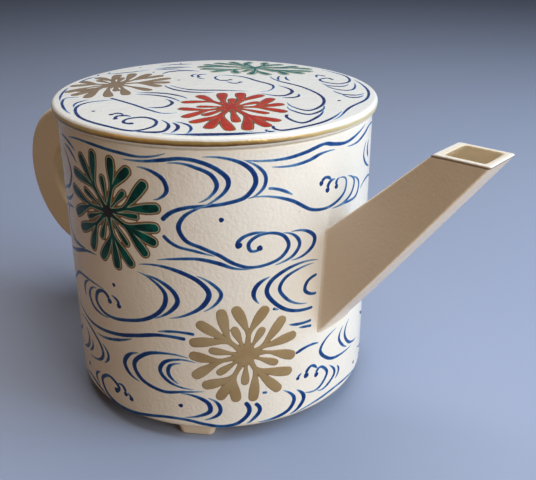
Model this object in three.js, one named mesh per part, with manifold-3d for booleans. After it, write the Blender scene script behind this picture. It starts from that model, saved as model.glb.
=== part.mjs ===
// A lidded water ewer of glazed clay: a straight round pot on three low feet, a flat-sided box spout luted of
// four clay slabs, a thick loop handle cut from a slab, and a loose flat lid with a locating ring under it.
// Millimetres, +Z up. The pot's axis is Z, the spout points along +X and the handle along -X. The origin is on
// the pot's axis, in the plane that the feet stand on.
import * as THREE from "three";
import { mergeVertices } from "three/addons/utils/BufferGeometryUtils.js";
import { ConvexGeometry } from "three/addons/geometries/ConvexGeometry.js";
import Module from "manifold-3d";

const wasm = await Module();
wasm.setup();

// Pot
const POT_RADIUS = 72.5; // outside of the wall
const POT_HEIGHT = 132.1; // from the underside of the floor to the rim
const WALL = 5;
const FLOOR = 6;
const HEEL_ROUND = 3; // rounding of the floor's outer lower edge
const RIM_ROUND = 1; // rounding of the rim's outer edge

// Feet
const FOOT_HEIGHT = 6.5;
const FOOT_WIDTH = 19; // around the pot, at the top
const FOOT_DEPTH = 12; // towards the axis, at the top
const FOOT_CORNER = 3;
const FOOT_INSET = 0.5; // from the start of the heel's rounding to the foot's outer face
const FOOT_TAPER_SHARE = 0.82; // width of the foot's sole as a share of its top
const FRONT_FOOT_ANGLE = 57; // degrees from the spout to each of the two front feet
const BACK_FOOT_ANGLE = 180; // the third foot is under the handle

// Lid
const LID_THICKNESS = 6.2;
const LID_UNDERCUT = 0.3; // how far the lid's lowest edge stands out past the wall
const LID_OVERHANG = 2.1; // how far the lid's widest line stands out past the wall
const LID_WIDEST_HEIGHT = 3.8; // of that line above the rim
const LID_SLOPE_HEIGHT = 2.4; // of the top of the sloping under-edge above the rim
const LID_SLOPE_BACK = 0.4; // from the widest line in to the top of the under-edge
const LID_TOP_ROUND = 1.6; // rounding of the lid's upper edge
const LID_CROWN = 0.4; // rise of the lid's middle over the start of its rounded edge
const RING_DEPTH = 9; // locating ring under the lid
const RING_WALL = 4;
const RING_CLEARANCE = 1;

// Spout
const SPOUT_REACH = 70.2; // from the wall to the tip
const MOUTH_LENGTH = 23.2; // of the level-cut mouth, along X
const MOUTH_WIDTH = 20.1;
const MOUTH_RISE = 2.6; // of the mouth above the rim
const SPOUT_TOP_DROP = 41.2; // from the rim down to where the spout's upper edge meets the wall
const SPOUT_BOTTOM_DROP = 90.8; // and its lower edge
const SPOUT_TOP_WIDTH = 18; // across the spout's upper edge at the wall
const SPOUT_BOTTOM_WIDTH = 24; // and its lower edge
const SPOUT_SIDE_WALL = 2.2;
const SPOUT_PLATE = 2.5; // thickness of the upper and lower slabs, square to their faces
const PORT_WIDTH = 11; // opening through the wall into the spout
const PORT_CORNER = 3;
const PORT_SILL = 3.5; // wall left between the port and the slab below it, and the slab above it

// Handle
const HANDLE_REACH = 72; // from the wall to the handle's outermost point
const HANDLE_DROP = 17.2; // from the rim down to the handle's top
const HANDLE_RADIUS = 41.1; // outer arc
const HANDLE_WIDTH = 24;
const HANDLE_EDGE = 2; // rounding along the handle's outlines
const GRIP_RADIUS = 20; // arc at the outer end of the finger hole
const GRIP_SETBACK = 3.4; // of that arc's centre towards the pot
const GRIP_RISE = 0.4; // and above the outer arc's centre

// Fits and cuts
const JOINT_GAP = 0.3; // slip line between luted pieces that meet on a curve
const OVERRUN = 2; // how far a cutting tool runs past what it cuts

// Facets
const ROUND_STEPS = 96; // around the pot
const CORNER_STEPS = 4;
const ARC_STEPS = 28;

// Places that follow from the sizes
const rimZ = FOOT_HEIGHT + POT_HEIGHT;
const bore = POT_RADIUS - WALL;
const mouthZ = rimZ + MOUTH_RISE;
const tipX = POT_RADIUS + SPOUT_REACH;

const clay = (colour, roughness) =>
  new THREE.MeshStandardMaterial({ color: colour, roughness, metalness: 0 });
const glaze = clay(0xefe9de, 0.3);
const lidGlaze = clay(0xf1eee6, 0.3);
const bareClay = clay(0xd9c7b0, 0.8);

const ewer = new THREE.Group();
function place(name, geometry, material, parent = ewer) {
  const mesh = new THREE.Mesh(geometry, material);
  mesh.name = name;
  parent.add(mesh);
  return mesh;
}

function toSolid(geometry) {
  const bare = geometry.clone();
  bare.deleteAttribute("normal");
  bare.deleteAttribute("uv");
  const merged = mergeVertices(bare);
  return new wasm.Manifold(
    new wasm.Mesh({
      numProp: 3,
      vertProperties: merged.attributes.position.array,
      triVerts: new Uint32Array(merged.index.array),
    }),
  );
}

function toGeometry(solid) {
  const { vertProperties, triVerts } = solid.getMesh();
  return new THREE.BufferGeometry()
    .setAttribute("position", new THREE.BufferAttribute(vertProperties, 3))
    .setIndex(new THREE.BufferAttribute(triVerts, 1));
}

// A profile of [radius, z] points turned about Z.
function turned(profile) {
  const points = profile.map(([r, z]) => new THREE.Vector2(r, z));
  return new THREE.LatheGeometry(points, ROUND_STEPS).rotateX(Math.PI / 2);
}

// Points of a quarter round from one angle to another, as [radius, z].
function quarter(centreR, centreZ, radius, from, to) {
  return Array.from({ length: CORNER_STEPS + 1 }, (_, i) => {
    const a = from + ((to - from) * i) / CORNER_STEPS;
    return [centreR + radius * Math.cos(a), centreZ + radius * Math.sin(a)];
  });
}

function roundedRectangle(width, height, corner) {
  const [x, y] = [width / 2 - corner, height / 2 - corner];
  const shape = new THREE.Shape();
  shape.absarc(x, y, corner, 0, Math.PI / 2);
  shape.absarc(-x, y, corner, Math.PI / 2, Math.PI);
  shape.absarc(-x, -y, corner, Math.PI, (3 * Math.PI) / 2);
  shape.absarc(x, -y, corner, (3 * Math.PI) / 2, 2 * Math.PI);
  return shape;
}

// Everything inside this cylinder is cut off whatever is luted to the outside of the wall.
const potEnvelope = toSolid(
  new THREE.CylinderGeometry(
    POT_RADIUS + JOINT_GAP,
    POT_RADIUS + JOINT_GAP,
    rimZ + MOUTH_RISE + OVERRUN,
    ROUND_STEPS,
  )
    .rotateX(Math.PI / 2)
    .translate(0, 0, (rimZ + MOUTH_RISE) / 2),
);
const fittedToWall = (geometry) =>
  toGeometry(toSolid(geometry).subtract(potEnvelope));

// The spout's side view: its upper and lower outer lines run from the wall to the mouth.
const upperSlope =
  (MOUTH_RISE + SPOUT_TOP_DROP) / (SPOUT_REACH - MOUTH_LENGTH);
const lowerSlope = (MOUTH_RISE + SPOUT_BOTTOM_DROP) / SPOUT_REACH;
const upperZ = (x) => mouthZ + (x - (tipX - MOUTH_LENGTH)) * upperSlope;
const lowerZ = (x) => mouthZ + (x - tipX) * lowerSlope;
const slabRise = (slope) => SPOUT_PLATE * Math.hypot(1, slope); // a slab's thickness measured straight up

function potWall() {
  const floorTop = FOOT_HEIGHT + FLOOR;
  const wall = toSolid(
    turned([
      [bore, floorTop],
      [POT_RADIUS, floorTop],
      ...quarter(
        POT_RADIUS - RIM_ROUND,
        rimZ - RIM_ROUND,
        RIM_ROUND,
        0,
        Math.PI / 2,
      ),
      [bore, rimZ],
      [bore, floorTop],
    ]),
  );
  const sillZ = lowerZ(POT_RADIUS) + slabRise(lowerSlope) + PORT_SILL;
  const headZ = upperZ(POT_RADIUS) - slabRise(upperSlope) - PORT_SILL;
  const port = new THREE.ExtrudeGeometry(
    roundedRectangle(PORT_WIDTH, headZ - sillZ, PORT_CORNER),
    { depth: WALL + 2 * OVERRUN, bevelEnabled: false, curveSegments: CORNER_STEPS },
  )
    .rotateX(Math.PI / 2)
    .rotateZ(Math.PI / 2)
    .translate(bore - OVERRUN, 0, (sillZ + headZ) / 2);
  return toGeometry(wall.subtract(toSolid(port)));
}

function potFloor() {
  const floorTop = FOOT_HEIGHT + FLOOR;
  return turned([
    [0, FOOT_HEIGHT],
    ...quarter(
      POT_RADIUS - HEEL_ROUND,
      FOOT_HEIGHT + HEEL_ROUND,
      HEEL_ROUND,
      -Math.PI / 2,
      0,
    ),
    [POT_RADIUS, floorTop],
    [0, floorTop],
  ]);
}

function foot(angleDegrees) {
  const block = new THREE.ExtrudeGeometry(
    roundedRectangle(FOOT_DEPTH, FOOT_WIDTH, FOOT_CORNER),
    { depth: FOOT_HEIGHT, bevelEnabled: false, curveSegments: CORNER_STEPS },
  );
  const p = block.attributes.position;
  for (let i = 0; i < p.count; i++)
    if (p.getZ(i) < FOOT_HEIGHT / 2)
      p.setXY(i, p.getX(i) * FOOT_TAPER_SHARE, p.getY(i) * FOOT_TAPER_SHARE);
  const middle = POT_RADIUS - HEEL_ROUND - FOOT_INSET - FOOT_DEPTH / 2;
  return block
    .translate(middle, 0, 0)
    .rotateZ(THREE.MathUtils.degToRad(angleDegrees));
}

// The corners of the spout's side view, from inside the wall's face to the mouth.
const rootX = bore;
const sideView = {
  upperRoot: [rootX, upperZ(rootX)],
  upperMouth: [tipX - MOUTH_LENGTH, mouthZ],
  lowerMouth: [tipX, mouthZ],
  lowerRoot: [rootX, lowerZ(rootX)],
};

function spoutSide(sign) {
  const corners = [
    [sideView.upperRoot, SPOUT_TOP_WIDTH],
    [sideView.upperMouth, MOUTH_WIDTH],
    [sideView.lowerMouth, MOUTH_WIDTH],
    [sideView.lowerRoot, SPOUT_BOTTOM_WIDTH],
  ];
  const points = corners.flatMap(([[x, z], width]) =>
    [width / 2, width / 2 - SPOUT_SIDE_WALL].map(
      (y) => new THREE.Vector3(x, sign * y, z),
    ),
  );
  return fittedToWall(new ConvexGeometry(points));
}

// The spout's outside width at its root, which grows from its upper edge down to its lower edge.
function rootWidth(z) {
  const downShare =
    (upperZ(rootX) - z) / (upperZ(rootX) - lowerZ(rootX));
  return SPOUT_TOP_WIDTH + (SPOUT_BOTTOM_WIDTH - SPOUT_TOP_WIDTH) * downShare;
}

// A slab between the side plates, with its mouth end cut level. inward is 1 for the upper slab, whose thickness
// lies below its line, and -1 for the lower one, whose thickness lies above.
function spoutSlab([x0, z0], [x1, z1], slope, inward) {
  const rise = slabRise(slope);
  const run = rise / slope; // length along X that the slab's thickness takes at the level mouth
  const points = [
    [x0, z0, rootWidth(z0)],
    [x1, z1, MOUTH_WIDTH],
    [x1 + inward * run, z1, MOUTH_WIDTH],
    [x0, z0 - inward * rise, rootWidth(z0 - inward * rise)],
  ].flatMap(([x, z, width]) => {
    const y = width / 2 - SPOUT_SIDE_WALL - JOINT_GAP;
    return [new THREE.Vector3(x, y, z), new THREE.Vector3(x, -y, z)];
  });
  return fittedToWall(new ConvexGeometry(points));
}

function handle() {
  const outerX = POT_RADIUS + HANDLE_REACH - HANDLE_RADIUS;
  const outerZ = rimZ - HANDLE_DROP - HANDLE_RADIUS;
  const gripX = outerX - GRIP_SETBACK;
  const gripZ = outerZ + GRIP_RISE;
  const shape = new THREE.Shape();
  shape.moveTo(rootX, outerZ - HANDLE_RADIUS);
  shape.lineTo(outerX, outerZ - HANDLE_RADIUS);
  shape.absarc(outerX, outerZ, HANDLE_RADIUS, -Math.PI / 2, Math.PI / 2);
  shape.lineTo(rootX, outerZ + HANDLE_RADIUS);
  shape.lineTo(rootX, gripZ + GRIP_RADIUS);
  shape.absarc(gripX, gripZ, GRIP_RADIUS, Math.PI / 2, -Math.PI / 2, true);
  shape.lineTo(rootX, gripZ - GRIP_RADIUS);
  shape.closePath();
  const slab = new THREE.ExtrudeGeometry(shape, {
    depth: HANDLE_WIDTH - 2 * HANDLE_EDGE,
    bevelThickness: HANDLE_EDGE,
    bevelSize: HANDLE_EDGE,
    bevelOffset: -HANDLE_EDGE,
    bevelSegments: 2,
    curveSegments: ARC_STEPS,
  })
    .translate(0, 0, HANDLE_EDGE - HANDLE_WIDTH / 2)
    .rotateX(Math.PI / 2)
    .rotateZ(Math.PI);
  return fittedToWall(slab);
}

function lidDisc() {
  const widest = POT_RADIUS + LID_OVERHANG;
  const top = rimZ + LID_THICKNESS;
  const shoulder = top - LID_CROWN;
  return turned([
    [0, rimZ],
    [POT_RADIUS + LID_UNDERCUT, rimZ],
    [widest - LID_SLOPE_BACK, rimZ + LID_SLOPE_HEIGHT],
    [widest, rimZ + LID_WIDEST_HEIGHT],
    ...quarter(
      widest - LID_TOP_ROUND,
      shoulder - LID_TOP_ROUND,
      LID_TOP_ROUND,
      Math.PI / 8,
      Math.PI / 2,
    ),
    [0, top],
  ]);
}

function lidRing() {
  const outside = bore - RING_CLEARANCE;
  const inside = outside - RING_WALL;
  return turned([
    [inside, rimZ - RING_DEPTH],
    [outside, rimZ - RING_DEPTH],
    [outside, rimZ],
    [inside, rimZ],
    [inside, rimZ - RING_DEPTH],
  ]);
}

place("pot_wall", potWall(), glaze);
place("pot_floor", potFloor(), glaze);
place("foot_left", foot(FRONT_FOOT_ANGLE), bareClay);
place("foot_right", foot(-FRONT_FOOT_ANGLE), bareClay);
place("foot_back", foot(BACK_FOOT_ANGLE), bareClay);

const spout = new THREE.Group();
ewer.add(spout);
place("spout_left_side", spoutSide(1), glaze, spout);
place("spout_right_side", spoutSide(-1), glaze, spout);
place(
  "spout_upper_slab",
  spoutSlab(sideView.upperRoot, sideView.upperMouth, upperSlope, 1),
  glaze,
  spout,
);
place(
  "spout_lower_slab",
  spoutSlab(sideView.lowerRoot, sideView.lowerMouth, lowerSlope, -1),
  glaze,
  spout,
);
place("handle", handle(), glaze);

const lid = new THREE.Group();
ewer.add(lid);
place("lid_disc", lidDisc(), lidGlaze, lid);
place("lid_locating_ring", lidRing(), bareClay, lid);

export default ewer;
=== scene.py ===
"""The looks of a lidded water ewer of glazed clay with cobalt water lines and enamel chrysanthemums.

The frame is in metres, +Z up: the pot's axis is Z, the spout points along +X and the handle along -X. Shapes
are worked out in millimetres and made metres when they become a mesh. The wall's painting is laid out on
the unrolled wall: s runs round it to the right and h up from the floor's underside. The lid's is laid out on
a plan seen from above, turned so that its lower edge faces the camera.
"""

import math

import bmesh
import bpy
import numpy as np
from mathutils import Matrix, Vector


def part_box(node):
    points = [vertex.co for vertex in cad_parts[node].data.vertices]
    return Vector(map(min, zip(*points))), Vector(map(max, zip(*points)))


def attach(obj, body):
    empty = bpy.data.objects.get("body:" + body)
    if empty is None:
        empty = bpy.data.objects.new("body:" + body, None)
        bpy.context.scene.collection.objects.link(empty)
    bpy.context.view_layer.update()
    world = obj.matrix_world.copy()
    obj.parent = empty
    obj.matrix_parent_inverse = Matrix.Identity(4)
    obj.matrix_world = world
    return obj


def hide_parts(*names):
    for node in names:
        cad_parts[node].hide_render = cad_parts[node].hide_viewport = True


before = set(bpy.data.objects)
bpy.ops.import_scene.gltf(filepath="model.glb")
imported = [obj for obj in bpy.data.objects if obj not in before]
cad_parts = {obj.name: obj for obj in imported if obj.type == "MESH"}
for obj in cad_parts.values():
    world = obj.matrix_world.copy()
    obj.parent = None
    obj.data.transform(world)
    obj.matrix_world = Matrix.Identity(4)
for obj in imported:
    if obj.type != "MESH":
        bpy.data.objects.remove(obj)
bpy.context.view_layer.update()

MM = 0.001


def size_of(node):
    """Lowest and highest corner of a CAD node, in millimetres."""
    low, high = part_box(node)
    return np.array(low) / MM, np.array(high) / MM


# Meshes
SIDE_POINTS = (0.02, 0.1, 0.3, 0.5, 0.7, 0.9, 0.98)  # shares of a straight side, closer at its ends
AXIS_RING = 4.0  # radius of the last ring before a turned face closes onto its middle
STRAIGHT = 0.6  # straight run kept beside a rounding
LET_IN = 0.25  # how far a luted piece reaches into the wall
SNAP_STEPS = 3
SNAP_PROBE = 0.02  # step over which a slope is taken
SNAP_LEAST = 0.05  # least square of a slope

# Pot, from the frame
wall_high = size_of("pot_wall")[1]
floor_low, floor_high = size_of("pot_floor")
POT_RADIUS = wall_high[0]
RIM = wall_high[2]
UNDERSIDE = floor_low[2]
FLOOR_TOP = floor_high[2]
WALL = 5.0
HEEL_ROUND = 3.0
RIM_ROUND = 1.0
INNER_RIM_ROUND = 0.7
INNER_HEEL_ROUND = 3.0
UNDERSIDE_RINGS = (AXIS_RING, 30, 55)
FLOOR_RINGS = (50, 25, AXIS_RING)
WALL_ROWS = 100
WALL_MARGINS = (12.0, 3.0)  # from the underside to the first of those rows and from the last to the rim
POT_COLUMNS = 240
PORT_COLUMNS = 22  # across the port
PORT_REACH = 9.0  # along the wall from the port's middle to where those columns end
PORT_SIZE = (11.0, 35.0)
PORT_MIDDLE = 73.0
PORT_CORNER = 3.0

# Lid
disc_high = size_of("lid_disc")[1]
ring_low, ring_high = size_of("lid_locating_ring")
LID_RADIUS = disc_high[0]
LID_TOP = disc_high[2]
LID_CROWN = 0.8
LID_EDGE_ROUND = 1.8
LID_SEAT_RADIUS = 72.2
LID_SEAT_GAP = 0.06
LID_SEAT_ROUND = 0.5
LID_SEAT_RINGS = (AXIS_RING, 30, 58, 66, LID_SEAT_RADIUS - 0.3)
LID_UNDER_EDGE = ((0.75, 0.8), (0.3, 1.5), (0.08, 2.4))  # in from the edge and up from the rim
LID_CROWN_RINGS = np.array([72, 70.5, 67, 62, 56, 48, 38, 26, 14, AXIS_RING])
LID_COLUMNS = 256
RING_WALL = 4.0
RING_EDGE = 0.9
RING_LET_IN = 0.1
RING_FOOT_ROW = 2.0  # a row of points above its lower edge
RING_OUTER_ROOT = ((0.0, 1.2), (0.15, 0.4), (0.4, 0.0))  # spread of its root, and how far below its top
RING_INNER_ROOT = ((0.6, 0.0), (0.2, 0.5), (0.0, 1.4))
RING_COLUMNS = 192
GOLD_LINE = (1.95, 4.0)  # above the rim

# Spout
spout_high = size_of("spout_left_side")[1]
TIP = spout_high[0]
MOUTH = spout_high[2]
MOUTH_LENGTH = 23.2
MOUTH_HALF = 10.05  # half its width
ROOT_UPPER = 97.4  # heights of the spout's edges at the wall, and half their widths
ROOT_LOWER = 47.8
ROOT_UPPER_HALF = 9.0
ROOT_LOWER_HALF = 12.0
SPOUT_EDGE = 1.1
SPOUT_INNER_EDGE = 0.6  # growth of that rounding on the inside, as a share
SPOUT_SIDE_WALL = 2.1
SPOUT_SLAB = 3.5  # the upper and lower slabs' thickness in the plane of the mouth
MOUTH_LINE = (1.2, 0.5)  # gold line, below the mouth
MOUTH_ROUND = 0.008  # of the spout's length, from which the mouth's edges round over
MOUTH_ROUND_INSET = 0.17  # of the wall's thickness, by which they round in
LUTING_ROUND = 1.0
# Rows of points as shares of the way from the wall to the mouth
SPOUT_LUTING_SHARES = np.array([0.0, 0.003, 0.007, 0.012, 0.017, 0.023])
SPOUT_BODY_SHARES = np.concatenate([[0.03, 0.06], np.linspace(0.12, 0.93, 18), [0.97, 0.985]])
SPOUT_PORT_SHARES = np.array([0.01, 0.0])

# Handle
handle_low, handle_high = size_of("handle")
HANDLE_HALF = handle_high[1]  # half its thickness
HANDLE_RADIUS = (handle_high[2] - handle_low[2]) / 2
HANDLE_MIDDLE = (handle_high[2] + handle_low[2]) / 2
HANDLE_ARC_X = handle_low[0] + HANDLE_RADIUS
HANDLE_EDGE = 2.6
HANDLE_LUTING_ROUND = 3.0
HANDLE_DEGREES = np.linspace(90, 270, 65)
ARM_SHARES = np.array([0.0, 0.02, 0.05, 0.09, 0.16, 0.4, 0.7, 0.95])  # of the way from the wall to the arc
ARM_FILLET_SHARE = 0.16
GRIP_RADIUS = 20.0
GRIP_X = HANDLE_ARC_X + 3.4  # the finger hole lies a little nearer the pot and higher than the loop
GRIP_MIDDLE = HANDLE_MIDDLE + 0.4

# Feet
FOOT_DEPTH = 12.0
FOOT_WIDTH = 19.0
FOOT_CORNER = 3.2
FOOT_TAPER = 0.82  # the sole's size as a share of the top's
FOOT_LEAST_CORNER = 0.5
FOOT_EDGE = 0.9
FOOT_CAPS = (2.5, 3.0)  # from the edge in to the last ring of the sole and of the top
FOOT_ROWS = (2.5, 5.0)  # heights of the rows of points between the sole and the top
FOOT_SIDE_POINTS = (0.05, 0.35, 0.65, 0.95)
FOOT_LET_IN = 0.2  # how far its top reaches into the floor
FOOT_MIDDLE = 63.0  # from the pot's axis
FOOT_ANGLES = {"foot_left": 57, "foot_right": -57, "foot_back": 180}

# Painting
VIEW_TURN = 44.2  # degrees from X and Y to the lid's across and away
PAINT_TURN = 45.8  # degrees from the spout round to the middle of the wall's view
HALF_TURN = math.pi * POT_RADIUS
PAINT_LIFT = 0.03
PAINT_SINK = 0.03
LAYER = 0.003  # between two strokes that may cross
LAYERS = 7
CURVE_SAMPLES = 24  # for each knot
BRUSH_STEP = 0.8
BRUSH_ACROSS = np.array([-1.0, -0.9, -0.55, 0.0, 0.55, 0.9, 1.0])  # points across a stroke
BRUSH_LEAST_POINTS = 6
BRUSH_BLEED = 0.14  # added to each side of a stroke
BLEED_START = 0.5  # of the half width, from which a stroke's tone fades outwards
TONE_EMPTY = 0.2  # tone of an empty brush; a full one's is 1
END_LEAST = 0.1  # share of its width to which an end narrows
UPRIGHT_LEAST = 0.25  # steepness that a stroke must reach to take its full upright width
TAPER_SHARE = 0.34  # length of a tapered end as a share of its stroke's
TAPER_LIMITS = (3, 18)
TAPER_POWER = 0.7
DOT_POINTS = 17
DOT_RINGS = np.array([0.02, 0.5, 0.88, 1.0])
DOT_WAVER = 0.05
DOT_TONE = (1.05, 0.2)  # at the middle, and how much less at the edge
WALL_SWELL = (0.57, 0.86, 2.0)  # width where a stroke runs across and upright, and of a full brush
LID_SWELL = (1.0, 0.66, 1.4)
LOBE_STEPS = 12
LOBE_PROFILE = ((0, 0.42, 0.68, 0.87, 1), (0, 0.06, 0.6, 1, 0.86))  # along a lobe, from neck to tip radius
LOBE_EASE = 0.2  # rounding between two lobes
STEM_SPREAD = 1.2  # end of a stem as a multiple of its lobes' necks
PETAL_START = 0.28  # of the way from the centre to a short petal's tip
PETAL_ROOT = 0.45  # width of its root as a share of its tip's
BLOOM_MARGIN = 0.6
SHEET_STEP = 0.26
CORE_SWELL = 0.45  # length over which a core swells to its height
OUTLINE_RISE = (0.25, 0.15)  # length over which an outline rises, and its share at the very edge
HEART_STEP = 0.01  # between the two ends of the heart, which must differ
LOBE_FAR = 12.0  # a lobe that is farther away than this counts no less
FAR = 99.0
TINY = 1e-30  # keeps a logarithm finite


def rounded_loop(length, half_width, corner, corner_steps=6, side_points=SIDE_POINTS):
    """A rounded rectangle from u = 0 to length and y = -half_width to half_width, once round.

    Each corner is a quarter circle of the corner radius and each side a straight run between two corners.
    The three sizes may be columns, one row for each section. Gives u and y, a row for each section.
    """
    quarter = np.linspace(0, math.pi / 2, corner_steps + 1)
    middles = [(1, 1), (0, 1), (0, -1), (1, -1)]
    us, ys = [], []
    for index, (far, side) in enumerate(middles):
        angle = quarter + index * math.pi / 2
        us.append((length - corner if far else corner) + corner * np.cos(angle))
        ys.append(side * (half_width - corner) + corner * np.sin(angle))
    share = np.array(side_points)
    ring_u, ring_y = [], []
    for index in range(len(middles)):
        following = (index + 1) % len(middles)
        ring_u.append(us[index])
        ring_y.append(ys[index])
        ring_u.append(us[index][..., -1:] * (1 - share) + us[following][..., :1] * share)
        ring_y.append(ys[index][..., -1:] * (1 - share) + ys[following][..., :1] * share)
    return np.concatenate(ring_u, -1), np.concatenate(ring_y, -1)


def grid_faces(rows, columns, wrap_rows=False, wrap_columns=False):
    """Quads between neighbours in a grid numbered row by row; a wrapped way joins its end to its start."""
    row = np.arange(rows if wrap_rows else rows - 1)
    column = np.arange(columns if wrap_columns else columns - 1)
    row, column = np.meshgrid(row, column, indexing="ij")
    next_row, next_column = (row + 1) % rows, (column + 1) % columns
    corners = [(row, column), (row, next_column), (next_row, next_column), (next_row, column)]
    return np.stack([r * columns + c for r, c in corners], -1)


def fan_faces(ring, centre):
    """Quads that close an even ring of point numbers onto its centre, two of the ring's steps at a time."""
    start = np.arange(0, len(ring), 2)
    following = ring[(start + 2) % len(ring)]
    return np.stack([np.full(len(start), centre), ring[start], ring[start + 1], following], -1)


def used_only(faces):
    """The numbers of the points that the quads use, and the quads renumbered to those points."""
    used, corners = np.unique(faces, return_inverse=True)
    return used, corners.reshape(faces.shape)


def tube(rings, closed_ends=False, wrap_rows=False):
    """Points and quads of rings (rows, points round, 3); closed ends are drawn onto their middles."""
    rows, around = rings.shape[:2]
    points = rings.reshape(-1, 3)
    faces = grid_faces(rows, around, wrap_rows, True).reshape(-1, 4)
    if closed_ends:
        ends = np.stack([rings[0].mean(0), rings[-1].mean(0)])
        first = np.arange(around)
        fans = [fan_faces(first, len(points)), fan_faces(first + (rows - 1) * around, len(points) + 1)]
        points = np.concatenate([points, ends])
        faces = np.concatenate([faces, *fans])
    return points, faces


def turned(profile, columns):
    """Rings of a profile of (radius, z) points turned about Z."""
    profile = np.array(profile)
    angle = np.arange(columns) * 2 * math.pi / columns
    radius, z = profile[:, :1], profile[:, 1:]
    return np.stack([radius * np.cos(angle), radius * np.sin(angle), z + 0 * angle], -1)


def arc(centre_r, centre_z, radius, start, end, steps=8):
    """Points of a round from one angle to another, in degrees, as (radius, z)."""
    angle = np.radians(np.linspace(start, end, steps + 1))
    return list(zip(centre_r + radius * np.cos(angle), centre_z + radius * np.sin(angle)))


def put(name, data):
    """A new object at the origin, in the scene."""
    thing = bpy.data.objects.new(name, data)
    bpy.context.scene.collection.objects.link(thing)
    return thing


def face_outwards(points, faces, outward):
    """The quads of an open sheet, each turned so that its front looks the way that outward points there."""
    corner = points[faces]
    normal = np.cross(corner[:, 2] - corner[:, 0], corner[:, 3] - corner[:, 1])
    wrong = (normal * outward[faces[:, 0]]).sum(-1) < 0
    return np.where(wrong[:, None], faces[:, ::-1], faces)


def make_piece(name, points, faces, material, body, slot, nodes=(), values=None, outward=None):
    """Puts points, in millimetres, and quads into a mesh and ties it to its body.

    A closed shape has its faces turned outwards by their volume. An open one gives its outward direction at
    each point. Values are numbers at the points that the material reads by name.
    """
    if outward is not None:
        faces = face_outwards(points, faces, outward)
    mesh = bpy.data.meshes.new(name)
    mesh.vertices.add(len(points))
    mesh.vertices.foreach_set("co", (points * MM).astype(np.float32).ravel())
    mesh.loops.add(faces.size)
    mesh.loops.foreach_set("vertex_index", faces.astype(np.int32).ravel())
    mesh.polygons.add(len(faces))
    mesh.polygons.foreach_set("loop_start", np.arange(0, faces.size, 4, dtype=np.int32))
    for key, numbers in (values or {}).items():
        mesh.attributes.new(key, "FLOAT", "POINT").data.foreach_set("value", numbers.astype(np.float32))
    mesh.update(calc_edges=True)
    if outward is None:
        closed = bmesh.new()
        closed.from_mesh(mesh)
        bmesh.ops.recalc_face_normals(closed, faces=closed.faces)
        closed.to_mesh(mesh)
        closed.free()
    mesh.polygons.foreach_set("use_smooth", np.ones(len(faces), bool))
    mesh.materials.append(material)
    thing = put(name, mesh)
    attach(thing, body)
    if nodes:
        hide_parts(*nodes)


# Finishes


def srgb(red, green, blue):
    """A colour written as on a screen, 0 to 255, as the linear colour that a shader takes."""
    screen = np.array([red, green, blue]) / 255
    linear = np.where(screen <= 0.04045, screen / 12.92, ((screen + 0.055) / 1.055) ** 2.4)
    return (*linear.tolist(), 1.0)


class Signal:
    """One output of a node; a sum or product with it adds a Math node."""

    def __init__(self, nodes, socket):
        self.nodes = nodes
        self.socket = socket

    def math(self, operation, first, second):
        return self.nodes.add("Math", {"operation": operation}, {0: first, 1: second})

    def __add__(self, other):
        return self.math("ADD", self, other)

    def __sub__(self, other):
        return self.math("SUBTRACT", self, other)

    def __rsub__(self, other):
        return self.math("SUBTRACT", other, self)

    def __mul__(self, other):
        return self.math("MULTIPLY", self, other)

    __radd__ = __add__
    __rmul__ = __mul__


# A Mix node's sockets by number, because its colour sockets share their names with its other kinds
MIX_SHARE, MIX_FIRST, MIX_SECOND, MIX_RESULT = 0, 6, 7, 2


class Nodes:
    """A node tree that is filled by add(), which gives back the new node's output as a Signal."""

    def __init__(self, tree):
        self.tree = tree
        tree.nodes.clear()

    def add(self, kind, settings=None, values=None, output=0):
        node = self.tree.nodes.new("ShaderNode" + kind)
        for name, value in (settings or {}).items():
            setattr(node, name, value)
        for name, value in (values or {}).items():
            if isinstance(value, Signal):
                self.tree.links.new(value.socket, node.inputs[name])
            else:
                node.inputs[name].default_value = value
        return Signal(self, node.outputs[output]) if node.outputs else None

    def rise(self, signal, low, high):
        """0 below low, 1 above high and a smooth step between."""
        values = {"Value": signal, "From Min": low, "From Max": high}
        return self.add("MapRange", {"interpolation_type": "SMOOTHSTEP"}, values)

    def mix(self, share, first, second):
        """The first colour where share is 0 and the second where it is 1."""
        values = {MIX_SHARE: share, MIX_FIRST: first, MIX_SECOND: second}
        return self.add("Mix", {"data_type": "RGBA"}, values, MIX_RESULT)

    def dot(self, first, second):
        return self.add("VectorMath", {"operation": "DOT_PRODUCT"}, {0: first, 1: second}, "Value")

    def noise(self, where, scale, detail=2.0):
        return self.add("TexNoise", None, {"Vector": where, "Scale": scale, "Detail": detail})

    def place(self):
        return self.add("TexCoord", output="Object")

    def height(self, where):
        return self.add("SeparateXYZ", None, {"Vector": where}, "Z")

    def attribute(self, name):
        return self.add("Attribute", {"attribute_name": name}, None, "Fac")

    def bump(self, relief, depth):
        """The normal of a surface whose relief, from 0 to 1, is depth millimetres high."""
        return self.add("Bump", None, {"Strength": 1.0, "Distance": depth * MM, "Height": relief})

    def seen(self):
        """1 for what the camera sees, straight, mirrored or through glass, and 0 for bounced light."""
        rays = ("Is Camera Ray", "Is Glossy Ray", "Is Transmission Ray")
        direct, mirrored, through = [self.add("LightPath", output=ray) for ray in rays]
        return direct + mirrored + through


def finish(name, build):
    """A material whose Principled shader takes the socket values that build gives for the new tree."""
    material = bpy.data.materials.new(name)
    material.use_nodes = True
    nodes = Nodes(material.node_tree)
    shader = nodes.add("BsdfPrincipled", None, build(nodes))
    nodes.add("OutputMaterial", None, {"Surface": shader})
    return material


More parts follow.
